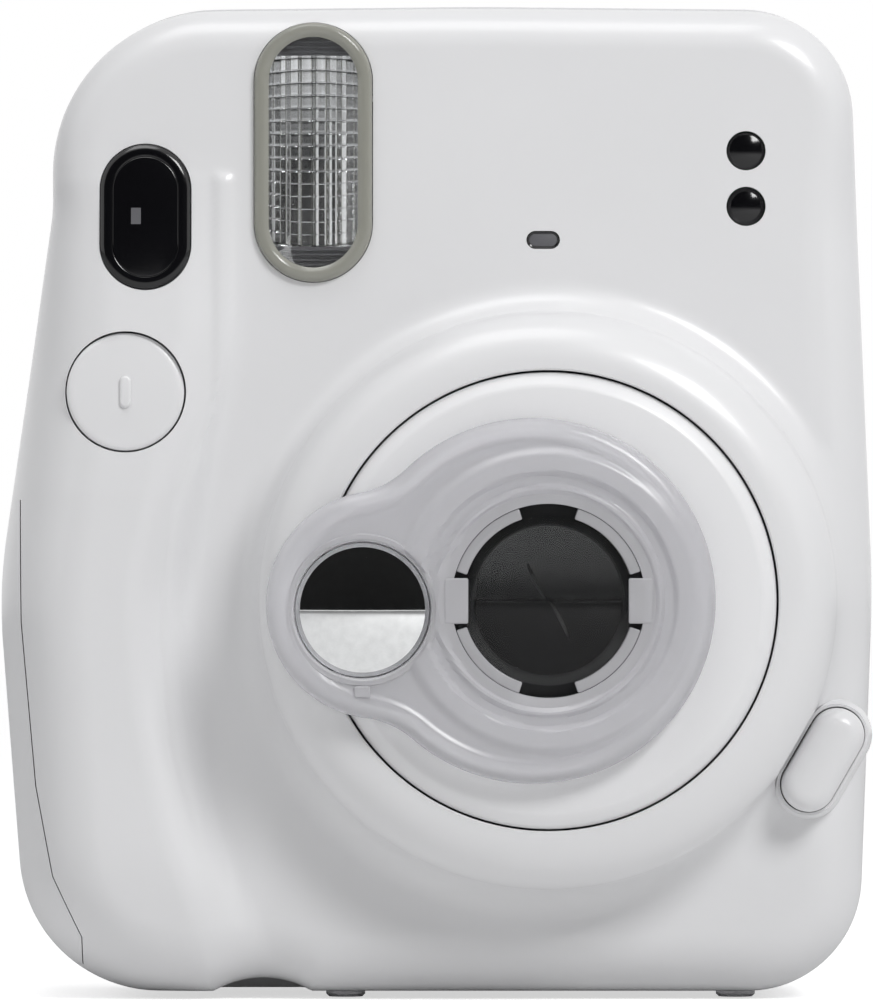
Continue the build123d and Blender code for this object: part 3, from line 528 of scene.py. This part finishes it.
def casingSolid(name, backY):
    c = casing
    rows = [ringAt(c["bore"], c["moundY"] + 2.2), ringAt(c["bore"], c["moundY"] + 0.25)]
    rows += [ringAt(c["bore"] + 0.2, c["moundY"])]
    start = c["moundRadius"] - c["moundRound"]
    for step in range(13):
        turn = math.pi / 2 * step / 12
        rows.append(ringAt(start + c["moundRound"] * math.sin(turn),
                           c["moundY"] + c["moundRound"] * (1 - math.cos(turn))))
    fillet = c["moundFoot"] - c["moundRadius"]
    for step in range(11):
        turn = math.pi / 2 * step / 10
        radius = np.minimum(c["moundRadius"] + 0.02 + fillet * (1 - math.cos(turn)), reachNotched - 0.05)
        rows.append(surfaceRing(radius, fillet * (1 - math.sin(turn))))
    first = np.minimum(c["moundFoot"], reachNotched - 0.04)
    for step in range(1, ringsOut + 1):
        share = 1 - (1 - step / ringsOut) ** 1.45
        rows.append(surfaceRing(first + (reachNotched - 0.005 - first) * share))
    edge = rows[-1][:, 1]
    for share in (0.33, 0.66, 1.0):
        rows.append(ringAt(reachNotched, edge + (2.0 - edge) * share))
    rows += [ringAt(reachPlain, 2.02), ringAt(reachPlain, (2.0 + backY) / 2), ringAt(reachPlain, backY)]
    inner = reachPlain - c["wall"]
    rows += [ringAt(inner, backY)]
    innerEdge = np.minimum(surfaceRing(inner)[:, 1] + c["wall"] + 0.6, splitY - 1.5)
    rows += [ringAt(inner, innerEdge)]
    hollow = c["moundRadius"] - c["wall"]
    for share in (0.15, 0.35, 0.6, 0.85, 1.0):
        radius = inner + (hollow - inner) * share
        rows.append(surfaceRing(radius, -c["wall"]))
    rows += [ringAt(hollow, c["moundY"] + 5.0), ringAt(hollow - 2.5, c["moundY"] + 2.4)]
    return closedGrid(name, rows, casingPlastic)


frontCasing = casingSolid("frontCasing", splitY)
print("front casing", len(frontCasing.data.polygons))

seamLine = (
    (-halfWidth - 3, 61.0), (-halfWidth + 2.3, 61.0), (-halfWidth + 2.5, 46.0), (-halfWidth + 4.3, 26.0),
    (-halfWidth + 6.4, 15.0), (-halfWidth + 9.9, 7.5), (-halfWidth + 9.9, 4.0), (-halfWidth - 3, 4.0),
)


def joined(name, parts):
    bpy.ops.object.select_all(action="DESELECT")
    for part in parts:
        part.select_set(True)
    bpy.context.view_layer.objects.active = parts[0]
    bpy.ops.object.join()
    parts[0].name = name
    return parts[0]


sensors = [middle("light_sensor_lens"), middle("flash_sensor_lens")]
indicatorX, _, indicatorZ = middle("indicator_window")
front = -26.0
holes = joined("holes", [
    prism("flashHole", pillLoop(flashX, flashZ, 14.6, 31.9), front, -13.0),
    prism("finderHole", pillLoop(finderX, finderZ, 11.25, 17.95), front, -8.0),
    prism("shutterHole", circleLoop(shutterX, shutterZ, 7.4), front, -8.0),
    prism("powerHole", pillLoop(powerX, powerZ, 8.1, 15.1, -30), -28.0, -11.0),
    prism("sensorHole", circleLoop(sensors[0][0], sensors[0][2], 2.4), front, -10.0),
    prism("sensorHoleLow", circleLoop(sensors[1][0], sensors[1][2], 2.4), front, -10.0),
    prism("indicatorHole", pillLoop(indicatorX, indicatorZ, 2.2, 4.1, 90), front, -10.0),
])
cut(frontCasing, holes)
cut(frontCasing, prism("seam", [(x + (0.12 if x > -halfWidth else 0), z) for x, z in seamLine], -30.0, 30.0))
dress(frontCasing, "root", casingPlastic, 40)
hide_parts("front_shell")

batteryCover = casingSolid("batteryCover", nodeBox("battery_cover")[1][1])
cut(batteryCover, prism("keep", [(x, z) for x, z in seamLine], -30.0, 30.0), "INTERSECT")
dress(batteryCover, "battery_lid", casingPlastic, 40)
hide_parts("battery_cover")
print("casing and battery cover cut")


def piece(obj, slotName, *replaced):
    if replaced:
        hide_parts(*replaced)
    return obj


# Front ring with its soft bevel and sliding skirt
ring = {"outer": 27.7, "bevel": 26.0, "opening": 11.85, "thick": 2.5, "skirt": 25.95, "skirtWall": 1.5}
y0 = ringFaceY
ringProfile = [
    (ring["opening"], y0 + ring["thick"]), (ring["opening"], y0 + 0.35), (ring["opening"] + 0.35, y0),
    (ring["bevel"] - 0.3, y0), (ring["bevel"], y0 + 0.06), (ring["bevel"] + 0.3, y0 + 0.22),
    (ring["outer"] - 0.45, y0 + 0.75), (ring["outer"] - 0.12, y0 + 1.0), (ring["outer"], y0 + 1.3),
    (ring["outer"], y0 + ring["thick"] - 0.2), (ring["outer"] - 0.2, y0 + ring["thick"]),
    (ring["skirt"], y0 + ring["thick"]), (ring["skirt"], ringHigh[1]),
    (ring["skirt"] - ring["skirtWall"], ringHigh[1]), (
        ring["skirt"] - ring["skirtWall"],
        y0 + ring["thick"],
    ),
]
frontRing = lathe("frontRing", ringProfile, lensX, lensZ, "focus_ring", ringPlastic, 192)
piece(frontRing, "lens_ring", "front_ring")

# Clip-on attachment: round part and mirror lobe joined by hollow necks
clip = {"x": 11.7, "z": 48.8, "radius": 22.15, "lobeX": -6.8, "lobeZ": 48.3, "lobe": 13.8, "neck": 11.0,
        "wall": 1.3, "bore": 11.75, "edge": 1.7, "mirrorX": -8.9, "mirrorZ": 47.7, "cup": 8.9}


def clipLoop():
    a = np.array((clip["x"], clip["z"]))
    b = np.array((clip["lobeX"], clip["lobeZ"]))
    between = np.linalg.norm(b - a)
    ra, rb = clip["radius"] + clip["neck"], clip["lobe"] + clip["neck"]
    along = (between ** 2 + ra ** 2 - rb ** 2) / (2 * between)
    off = math.sqrt(ra ** 2 - along ** 2)
    unit = (b - a) / between
    normal = np.array((-unit[1], unit[0]))
    upper = a + unit * along - normal * off
    lower = a + unit * along + normal * off
    points = []

    def arc(center, radius, start, end, count):
        for k in range(count):
            t = start + (end - start) * k / count
            points.append((center[0] + radius * math.cos(t), center[1] + radius * math.sin(t)))

    def heading(origin, target):
        return math.atan2(target[1] - origin[1], target[0] - origin[0])

    if upper[1] < lower[1]:
        upper, lower = lower, upper
    arc(a, clip["radius"], heading(a, lower) - 2 * math.pi if heading(a, lower) > 0 else heading(a, lower),
        heading(a, upper), 110)
    first, last = heading(upper, a), heading(upper, b)
    arc(upper, clip["neck"], first, last, 20)
    first, last = heading(b, upper), heading(b, lower) + 2 * math.pi
    arc(b, clip["lobe"], first, last, 70)
    first, last = heading(lower, b), heading(lower, a)
    arc(lower, clip["neck"], first, last, 20)
    return np.array(points)


clipEdge = clipLoop()
clipAngles = np.radians(np.linspace(0, 360, 360, endpoint=False))
clipReach = reachAlong(clipEdge, clipAngles, lensX, lensZ)


def clipRing(radius, y):
    radius = np.broadcast_to(radius, clipAngles.shape)
    x = lensX + radius * np.cos(clipAngles)
    z = lensZ + radius * np.sin(clipAngles)
    return np.stack((x, np.broadcast_to(y, clipAngles.shape), z), axis=1)


# Front face: rounded band at the edge, a soft raised annulus, and a low rim at the bore.
def clipFace(radius):
    radius = np.broadcast_to(radius, clipAngles.shape)
    x = lensX + radius * np.cos(clipAngles)
    z = lensZ + radius * np.sin(clipAngles)
    away = distanceTo(clipEdge, x, z)
    near = np.clip(1 - away / clip["edge"], 0, 1)
    drop = clip["edge"] * (1 - np.sqrt(np.maximum(0, 1 - near * near)))
    band = 0.35 * smooth((away - 2.4) / 0.7)
    bulge = 0.5 * smooth((radius - 15.0) / 0.9) * smooth((19.0 - radius) / 1.6)
    rim = 0.45 * smooth((14.2 - radius) / 0.5) * smooth((radius - 13.0) / 0.4)
    return clipLow[1] + 0.55 + drop - np.minimum(0.5, bulge + rim) + band * 0.9 * (1 - smooth(bulge * 2))


clipRows = [clipRing(clip["bore"], clipHigh[1] - 1.6), clipRing(clip["bore"], clipLow[1] + 0.9)]
firstReach = clip["bore"] + 0.35
for step in range(45):
    radius = firstReach + (clipReach - 0.01 - firstReach) * (1 - (1 - step / 44) ** 1.25)
    clipRows.append(clipRing(radius, clipFace(radius)))
backY = ringFaceY - 0.1
clipRows += [clipRing(clipReach, backY - 0.15), clipRing(clipReach - 0.15, backY)]
clipRows += [clipRing(clipReach - clip["wall"], backY)]
inner = clipReach - clip["wall"]
clipRows += [clipRing(inner, clipLow[1] + clip["wall"] + 1.6)]
for share in (0.1, 0.35, 0.6, 0.85):
    radius = inner + (clip["bore"] + 1.2 - inner) * share
    clipRows.append(clipRing(radius, clipFace(radius) + clip["wall"]))
clipRows += [
    clipRing(clip["bore"] + 1.2, clipLow[1] + 2.0),
    clipRing(clip["bore"] + 1.2, clipHigh[1] - 1.6),
]
clipBody = closedGrid("clipOnBody", clipRows, frostedPlastic)
cut(clipBody, prism("cup", circleLoop(clip["mirrorX"], clip["mirrorZ"], clip["cup"]), -40, backY - 1.2))
dress(clipBody, "closeup", frostedPlastic, 38)
piece(clipBody, "frosted", "closeup_body")

# Four arcs of the insert that grips the lens opening
for quadrant in range(4):
    half = math.degrees(math.asin(6.7 / 2 / 11.0))
    start = 90 * quadrant + half
    end = 90 * (quadrant + 1) - half
    turns = [math.radians(start + (end - start) * k / 24) for k in range(25)]
    loop = [(lensX + 11.7 * math.cos(t), lensZ + 11.7 * math.sin(t)) for t in turns]
    loop += [(lensX + 10.35 * math.cos(t), lensZ + 10.35 * math.sin(t)) for t in reversed(turns)]
    arcPiece = prism("clipInsert%d" % quadrant, loop, clipLow[1] + 1.0, clipHigh[1])
    bevelEdges(arcPiece, 0.18, 2)
    dress(arcPiece, "closeup", frostedPlastic, 40)

# Snap tabs in the side notches, and the small lug under the mirror
tab = {
    "half": 2.75,
    "inner": 9.7,
    "outer": 12.6,
    "front": 0.75,
    "deep": 2.4,
    "lugWidth": 1.9,
    "lugHeight": 1.4,
}
tabLoops = []
for side in (-1, 1):
    near, far = lensX + side * tab["inner"], lensX + side * tab["outer"]
    tabLoops.append([(near, lensZ - tab["half"]), (far, lensZ - tab["half"]),
                     (far, lensZ + tab["half"]), (near, lensZ + tab["half"])])
lugLow = clip["mirrorZ"] - clip["cup"] - 0.3 - tab["lugHeight"]
lugHigh = lugLow + tab["lugHeight"]
lugLeft = clip["mirrorX"] - tab["lugWidth"] / 2
lugRight = clip["mirrorX"] + tab["lugWidth"] / 2
tabLoops.append([(lugLeft, lugLow), (lugRight, lugLow), (lugRight, lugHigh), (lugLeft, lugHigh)])
tabFronts = (tab["front"] + 0.02, tab["front"] + 0.02, 0.27)
for place, (loop, tabFront) in enumerate(zip(tabLoops, tabFronts)):
    tabPiece = prism("clipTab%d" % place, loop, clipLow[1] + tabFront, clipLow[1] + tab["deep"])
    bevelEdges(tabPiece, 0.22, 3)
    dress(tabPiece, "closeup", frostedPlastic, 40)

# Convex mirror in its cup
mirror = {"radius": 8.1, "rise": 1.25}
low, high = nodeBox("closeup_mirror")
steps = 24
profile = []
for k in range(steps + 1):
    profile.append((mirror["radius"] * k / steps, low[1] + mirror["rise"] * (k / steps) ** 2))
profile += [(mirror["radius"], high[1]), (0.0, high[1])]
convexMirror = lathe("convexMirror", profile, clip["mirrorX"], clip["mirrorZ"], "closeup", mirrorMetal, 128)
piece(convexMirror, "mirror", "closeup_mirror")
rimProfile = [(8.25, low[1] + 0.9), (8.35, low[1] - 0.1), (8.6, low[1] - 0.3), (9.1, low[1] - 0.3),
              (9.35, low[1] - 0.05), (9.35, high[1]), (8.25, high[1])]
mirrorRim = lathe("mirrorRim", rimProfile, clip["mirrorX"], clip["mirrorZ"], "closeup", frostedPlastic, 128)
print("ring and attachment made")

# Flash: tinted rim, clear window, ribbed reflector and dark end caps
flash = {"width": 14.4, "height": 31.7, "rim": 1.75, "front": -18.15, "back": -15.2}
rimLoop = pillLoop(flashX, flashZ, flash["width"], flash["height"], 0, 40)
f0 = flash["front"]
rimProfile = [(0, flash["back"]), (0, f0 + 0.7), (0.12, f0 + 0.35), (0.45, f0 + 0.06), (0.9, f0), (
    1.3,
    f0 + 0.12,
),
              (flash["rim"], f0 + 0.5), (flash["rim"], flash["back"])]
flashRim = sweptLoop("flashRim", rimLoop, rimProfile, "root", smokeRim)
piece(flashRim, "clear", "flash_window")
innerLoop = pillLoop(
    flashX,
    flashZ,
    flash["width"] - 2 * flash["rim"] + 0.1,
    flash["height"] - 2 * flash["rim"] + 0.1,
)
flashPane = prism("flashPane", innerLoop, f0 + 0.55, f0 + 1.0)
bevelEdges(flashPane, 0.12, 2)
dress(flashPane, "root", clearGlass, 30)
reflector = {"halfWidth": 5.5, "halfHeight": 11.45, "depth": 4.5, "pitch": 1.47}
verts, faces = [], []
across, up = 48, 186
reflectorZ = 103.67
for j in range(up + 1):
    z = reflectorZ - reflector["halfHeight"] + 2 * reflector["halfHeight"] * j / up
    wave = abs(((z / reflector["pitch"]) % 1.0) - 0.5) * 2
    for i in range(across + 1):
        u = 2 * i / across - 1
        flute = 0.10 * math.cos(u * math.pi * 9)
        y = -15.2 + reflector["depth"] * (1 - u * u) ** 0.75 * 0.8 + 0.10 * (wave > 0.86) + flute
        verts.append(((flashX + reflector["halfWidth"] * u) * mm, y * mm, z * mm))
row = across + 1
for j in range(up):
    for i in range(across):
        a = j * row + i
        faces.append((a, a + 1, a + row + 1, a + row))
reflectorPiece = newObject("flashTrough", verts, faces, None, reflectorMetal, 30)
modifier = reflectorPiece.modifiers.new("thick", "SOLIDIFY")
modifier.thickness = 0.25 * mm
modifier.offset = 0
bpy.ops.object.modifier_apply(modifier="thick")
dress(reflectorPiece, "root", reflectorMetal, 30)
piece(reflectorPiece, "reflector", "flash_reflector")
for end in (1, -1):
    centerZ = reflectorZ + end * (reflector["halfHeight"] + 0.1)
    capLoop = [(
        flashX + 5.35 * math.cos(math.pi * k / 28),
        centerZ + end * 4.0 * math.sin(math.pi * k / 28),
    )
               for k in range(29)]
    if end < 0:
        capLoop.reverse()
    cap = prism("flashEndCap%s" % ("Top" if end > 0 else "Low"), capLoop, -16.4, -15.2)
    bevelEdges(cap, 0.15, 2)
    dress(cap, "root", greyMatt, 35)
    for k in range(5):
        z = centerZ + end * (0.5 + 0.62 * k)
        reach = 4.9 * math.sqrt(max(0.05, 1 - ((z - centerZ) / 4.0) ** 2))
        rib = prism("flashRib%s%d" % ("Top" if end > 0 else "Low", k),
                    [(flashX - reach, z - 0.13), (flashX + reach, z - 0.13),
                     (flashX + reach, z + 0.13), (flashX - reach, z + 0.13)], -16.75, -16.3)
        bevelEdges(rib, 0.06, 1)
        dress(rib, "root", greyMatt, 35)

# Viewfinder window, sloped with the grip
slope = casing["gripHeight"] / (casing["gripTop"] - casing["gripFull"])


def leanWithGrip(obj, centerZ):
    for vertex in obj.data.vertices:
        vertex.co.y += slope * (vertex.co.z - centerZ * mm) * 0.9
    obj.data.update()


finderLoop = pillLoop(finderX, finderZ, 11.0, 17.7, 0, 40)
finderProfile = [
    (0, -14.5),
    (0, -17.9),
    (0.2, -18.15),
    (0.6, -18.32),
    (1.35, -18.38),
    (1.45, -18.33),
    (1.45, -14.5),
]
finderRim = sweptLoop("finderRim", finderLoop, finderProfile, "root", blackGloss)
leanWithGrip(finderRim, finderZ)
piece(finderRim, "gloss_black", "viewfinder_window")
finderPane = prism("finderPane", pillLoop(finderX, finderZ, 8.1, 14.8, 0, 40), -18.36, -17.2)
bevelEdges(finderPane, 0.2, 3)
leanWithGrip(finderPane, finderZ)
dress(finderPane, "root", blackGloss, 30)
# A flat grey patch on the front of the black viewfinder pane: a painted glint, in place of light caught on
# the glass.
paintedGlint = prism(
    "finderPaintedGlint",
    [(-37.25, 94.7), (-36.05, 94.7), (-36.05, 96.7), (-37.25, 96.7)],
    -18.38,
    -18.25,
)
leanWithGrip(paintedGlint, finderZ)
dress(paintedGlint, "root", greyMatt, 30)

# Shutter button: a soft dish with a short ridge
low, high = nodeBox("shutter_button")
dome = [(7.2 * k / 14, -20.05 + 0.25 * (k / 14) ** 2) for k in range(14)]
dome += [(6.95, -19.7), (7.15, -19.5), (7.2, -19.2), (7.2, -14.5), (0.0, -14.5)]
shutterPiece = lathe("shutterCap", dome, shutterX, shutterZ, None, casingPlastic, 96)
ridgeLoop = pillLoop(shutterX, shutterZ, 1.4, 3.9)
ridge = prism("shutterRidge", ridgeLoop, -20.5, -19.8)
bevelEdges(ridge, 0.3, 3)
for part in (shutterPiece, ridge):
    leanWithGrip(part, shutterZ)
dress(shutterPiece, "shutter_release", casingPlastic, 35)
piece(shutterPiece, "casing", "shutter_button")
dress(ridge, "shutter_release", casingPlastic, 35)

# Power button with its surround
surround = sweptLoop("powerSurround", pillLoop(powerX, powerZ, 8.1, 15.1, -30, 36),
                     [(0, -7.5), (-0.35, -16.0), (0.05, -18.6), (0.25, -19.0), (0.6, -18.9), (0.6, -7.5)],
                     "root", casingPlastic)
power = prism("powerCap", pillLoop(powerX, powerZ, 6.6, 13.6, -30, 40), -23.4, -14.0)
bevelEdges(power, 2.2, 6, 60)
dress(power, "power_switch", casingPlastic, 40)
piece(power, "casing", "power_button")

# Sensors and indicator
for name, node in (("upperSensor", "light_sensor_lens"), ("lowerSensor", "flash_sensor_lens")):
    low, high = nodeBox(node)
    x, _, z = middle(node)
    profile = [(2.1 * k / 12, low[1] + 0.45 * (k / 12) ** 2) for k in range(13)]
    profile += [(2.3, low[1] + 0.6), (2.3, high[1]), (0.0, high[1])]
    lens = lathe(name, profile, x, z, "root", blackGloss, 64)
    piece(lens, "gloss_black", node)
low, high = nodeBox("indicator_window")
window = prism("indicatorPane", pillLoop(indicatorX, indicatorZ, 1.6, 3.5, 90), low[1] + 0.1, high[1])
bevelEdges(window, 0.15, 2)
dress(window, "root", greyMatt, 35)
piece(window, "smoke", "indicator_window")
rimPiece = sweptLoop("indicatorRim", pillLoop(indicatorX, indicatorZ, 2.15, 4.05, 90),
                     [(0, high[1]), (0, low[1] + 0.05), (0.1, low[1]), (0.3, low[1] + 0.1), (0.3, high[1])],
                     "root", blackGloss)
print("small front pieces made")

# Finishes for the nodes that stay as they are
finishes = {
    "rear_shell": casingPlastic, "back_door": casingPlastic, "door_latch": casingPlastic,
    "feet": frostedPlastic,
    "exit_flap": greyMatt, "film_window": clearGlass, "counter_window": clearGlass,
    "closeup_lens": clearGlass,
    "strap_bar": steelPlated, "viewfinder_eyecup": blackMatt, "viewfinder_eyepiece": clearGlass,
    "viewfinder_tube": blackMatt, "inner_chassis": blackMatt, "barrel_sleeve": blackMatt,
    "lens_barrel": ringPlastic, "cover_plate": blackMatt, "lens_cell": blackMatt, "shutter_plate": blackMatt,
    "lens_cover_left": blackGloss, "lens_cover_right": blackGloss, "front_lens_element": clearGlass,
    "rear_lens_element": clearGlass, "film_pack": blackMatt, "pack_springs": steelPlated,
    "roller_bracket": steelPlated, "front_eject_roller": steelPlated, "rear_eject_roller": rollerRubber,
    "output_pinion": counterWhite, "gearbox": greyMatt, "drive_motor": steelPlated,
    "door_hinge_pins": steelPlated, "flash_tube": clearGlass, "circuit_board": board,
    "flash_capacitor": blackMatt, "shutter_spring": steelPlated, "power_spring": steelPlated,
    "battery_tray": greyMatt, "battery_cells": cellSkin, "battery_contacts": steelPlated,
    "counter_post": greyMatt, "counter_wheel": counterWhite,
}
for node, material in finishes.items():
    for place in range(max(1, len(nodes[node].material_slots))):
        if nodes[node].material_slots:
            nodes[node].material_slots[place].material = material
        else:
            nodes[node].data.materials.append(material)
print("finishes given")

# Floor, backdrop, cards and lights
floorMaterial, floorTree, floorShader, floorCoords = base("floorPaper")
floorFine = noise(floorTree, floorCoords, 300.0)
floorTint = ramp(
    floorTree,
    floorFine.outputs["Fac"],
    ((0.3, (0.84, 0.84, 0.84)), (0.7, (0.88, 0.88, 0.88))),
)
floorTree.links.new(floorTint.outputs["Color"], floorShader.inputs["Base Color"])
floorShader.inputs["Roughness"].default_value = 0.9
floorOut = floorTree.nodes["Material Output"]
floorGlow = floorTree.nodes.new("ShaderNodeEmission")
floorSum = floorTree.nodes.new("ShaderNodeAddShader")
floorPath = floorTree.nodes.new("ShaderNodeLightPath")
floorTree.links.new(floorPath.outputs["Is Camera Ray"], floorGlow.inputs["Strength"])
floorTree.links.new(floorShader.outputs[0], floorSum.inputs[0])
floorTree.links.new(floorGlow.outputs[0], floorSum.inputs[1])
floorTree.links.new(floorSum.outputs[0], floorOut.inputs[0])
floorGlow.inputs["Color"].default_value = (0.62, 0.62, 0.62, 1)


def sheetAt(name, corners, material):
    mesh = bpy.data.meshes.new(name)
    mesh.from_pydata(corners, [], [(0, 1, 2, 3)])
    mesh.materials.append(material)
    obj = bpy.data.objects.new(name, mesh)
    scene.collection.objects.link(obj)
    return obj


sheetAt("floor", [(-3, -3, -0.0002), (3, -3, -0.0002), (3, 3, -0.0002), (-3, 3, -0.0002)], floorMaterial)
cardMaterial, _, cardShader, _ = base("darkCard")
cardShader.inputs["Base Color"].default_value = (0.01, 0.01, 0.01, 1)
cardShader.inputs["Roughness"].default_value = 1.0
sheetAt(
    "darkCard",
    [(-3.0, -2.6, 0.02), (3.0, -2.6, 0.02), (3.0, -2.6, 3.0), (-3.0, -2.6, 3.0)],
    cardMaterial,
)

world = bpy.data.worlds.new("studio") if scene.world is None else scene.world
scene.world = world
world.use_nodes = True
world.node_tree.nodes["Background"].inputs["Color"].default_value = (0.93, 0.935, 0.95, 1)
world.node_tree.nodes["Background"].inputs["Strength"].default_value = 0.38
worldTree = world.node_tree
white = worldTree.nodes.new("ShaderNodeBackground")
white.inputs["Color"].default_value = (1, 1, 1, 1)
white.inputs["Strength"].default_value = 1.0
rays = worldTree.nodes.new("ShaderNodeLightPath")
cameraOrGlossy = worldTree.nodes.new("ShaderNodeMath")
cameraOrGlossy.operation = "ADD"
anySeen = worldTree.nodes.new("ShaderNodeMath")
anySeen.operation = "ADD"
anySeen.use_clamp = True
chooser = worldTree.nodes.new("ShaderNodeMixShader")
worldTree.links.new(rays.outputs["Is Camera Ray"], cameraOrGlossy.inputs[0])
worldTree.links.new(rays.outputs["Is Glossy Ray"], cameraOrGlossy.inputs[1])
worldTree.links.new(cameraOrGlossy.outputs[0], anySeen.inputs[0])
worldTree.links.new(rays.outputs["Is Transmission Ray"], anySeen.inputs[1])
worldTree.links.new(anySeen.outputs[0], chooser.inputs[0])
worldTree.links.new(worldTree.nodes["Background"].outputs[0], chooser.inputs[1])
worldTree.links.new(white.outputs[0], chooser.inputs[2])
worldTree.links.new(chooser.outputs[0], worldTree.nodes["World Output"].inputs["Surface"])


def softLamp(name, place, target, size, power):
    data = bpy.data.lights.new(name, "AREA")
    data.shape = "RECTANGLE"
    data.size = size[0]
    data.size_y = size[1]
    data.energy = power
    lamp = bpy.data.objects.new(name, data)
    scene.collection.objects.link(lamp)
    lamp.location = place
    lamp.rotation_euler = (Vector(target) - Vector(place)).to_track_quat("-Z", "Y").to_euler()
    return lamp


softLamp("keyLamp", (0.46, -0.72, 0.68), (0, 0, 0.06), (0.34, 0.3), 5.0)
fillLamp = softLamp("fillLamp", (-0.7, -0.9, 0.35), (0, 0, 0.06), (0.6, 0.6), 0.9)
fillLamp.visible_glossy = False
softLamp("topLamp", (-0.1, -0.25, 0.9), (0, 0, 0.06), (0.5, 0.4), 2.0)

view = {"distance": 1.6, "centerX": 0.00006, "centerZ": 0.0610, "height": 0.12225}
cameraData = bpy.data.cameras.new("studioCamera")
camera = bpy.data.objects.new("studioCamera", cameraData)
scene.collection.objects.link(camera)
camera.location = (view["centerX"], -view["distance"], view["centerZ"])
camera.rotation_euler = (math.pi / 2, 0, 0)
cameraData.sensor_fit = "VERTICAL"
cameraData.sensor_height = 24.0
faceDistance = view["distance"] + casing["faceY"] * mm
cameraData.lens = cameraData.sensor_height * faceDistance / view["height"]
cameraData.clip_end = 20
scene.camera = camera
scene.view_settings.view_transform = "Standard"
print("stage, lights and camera set")
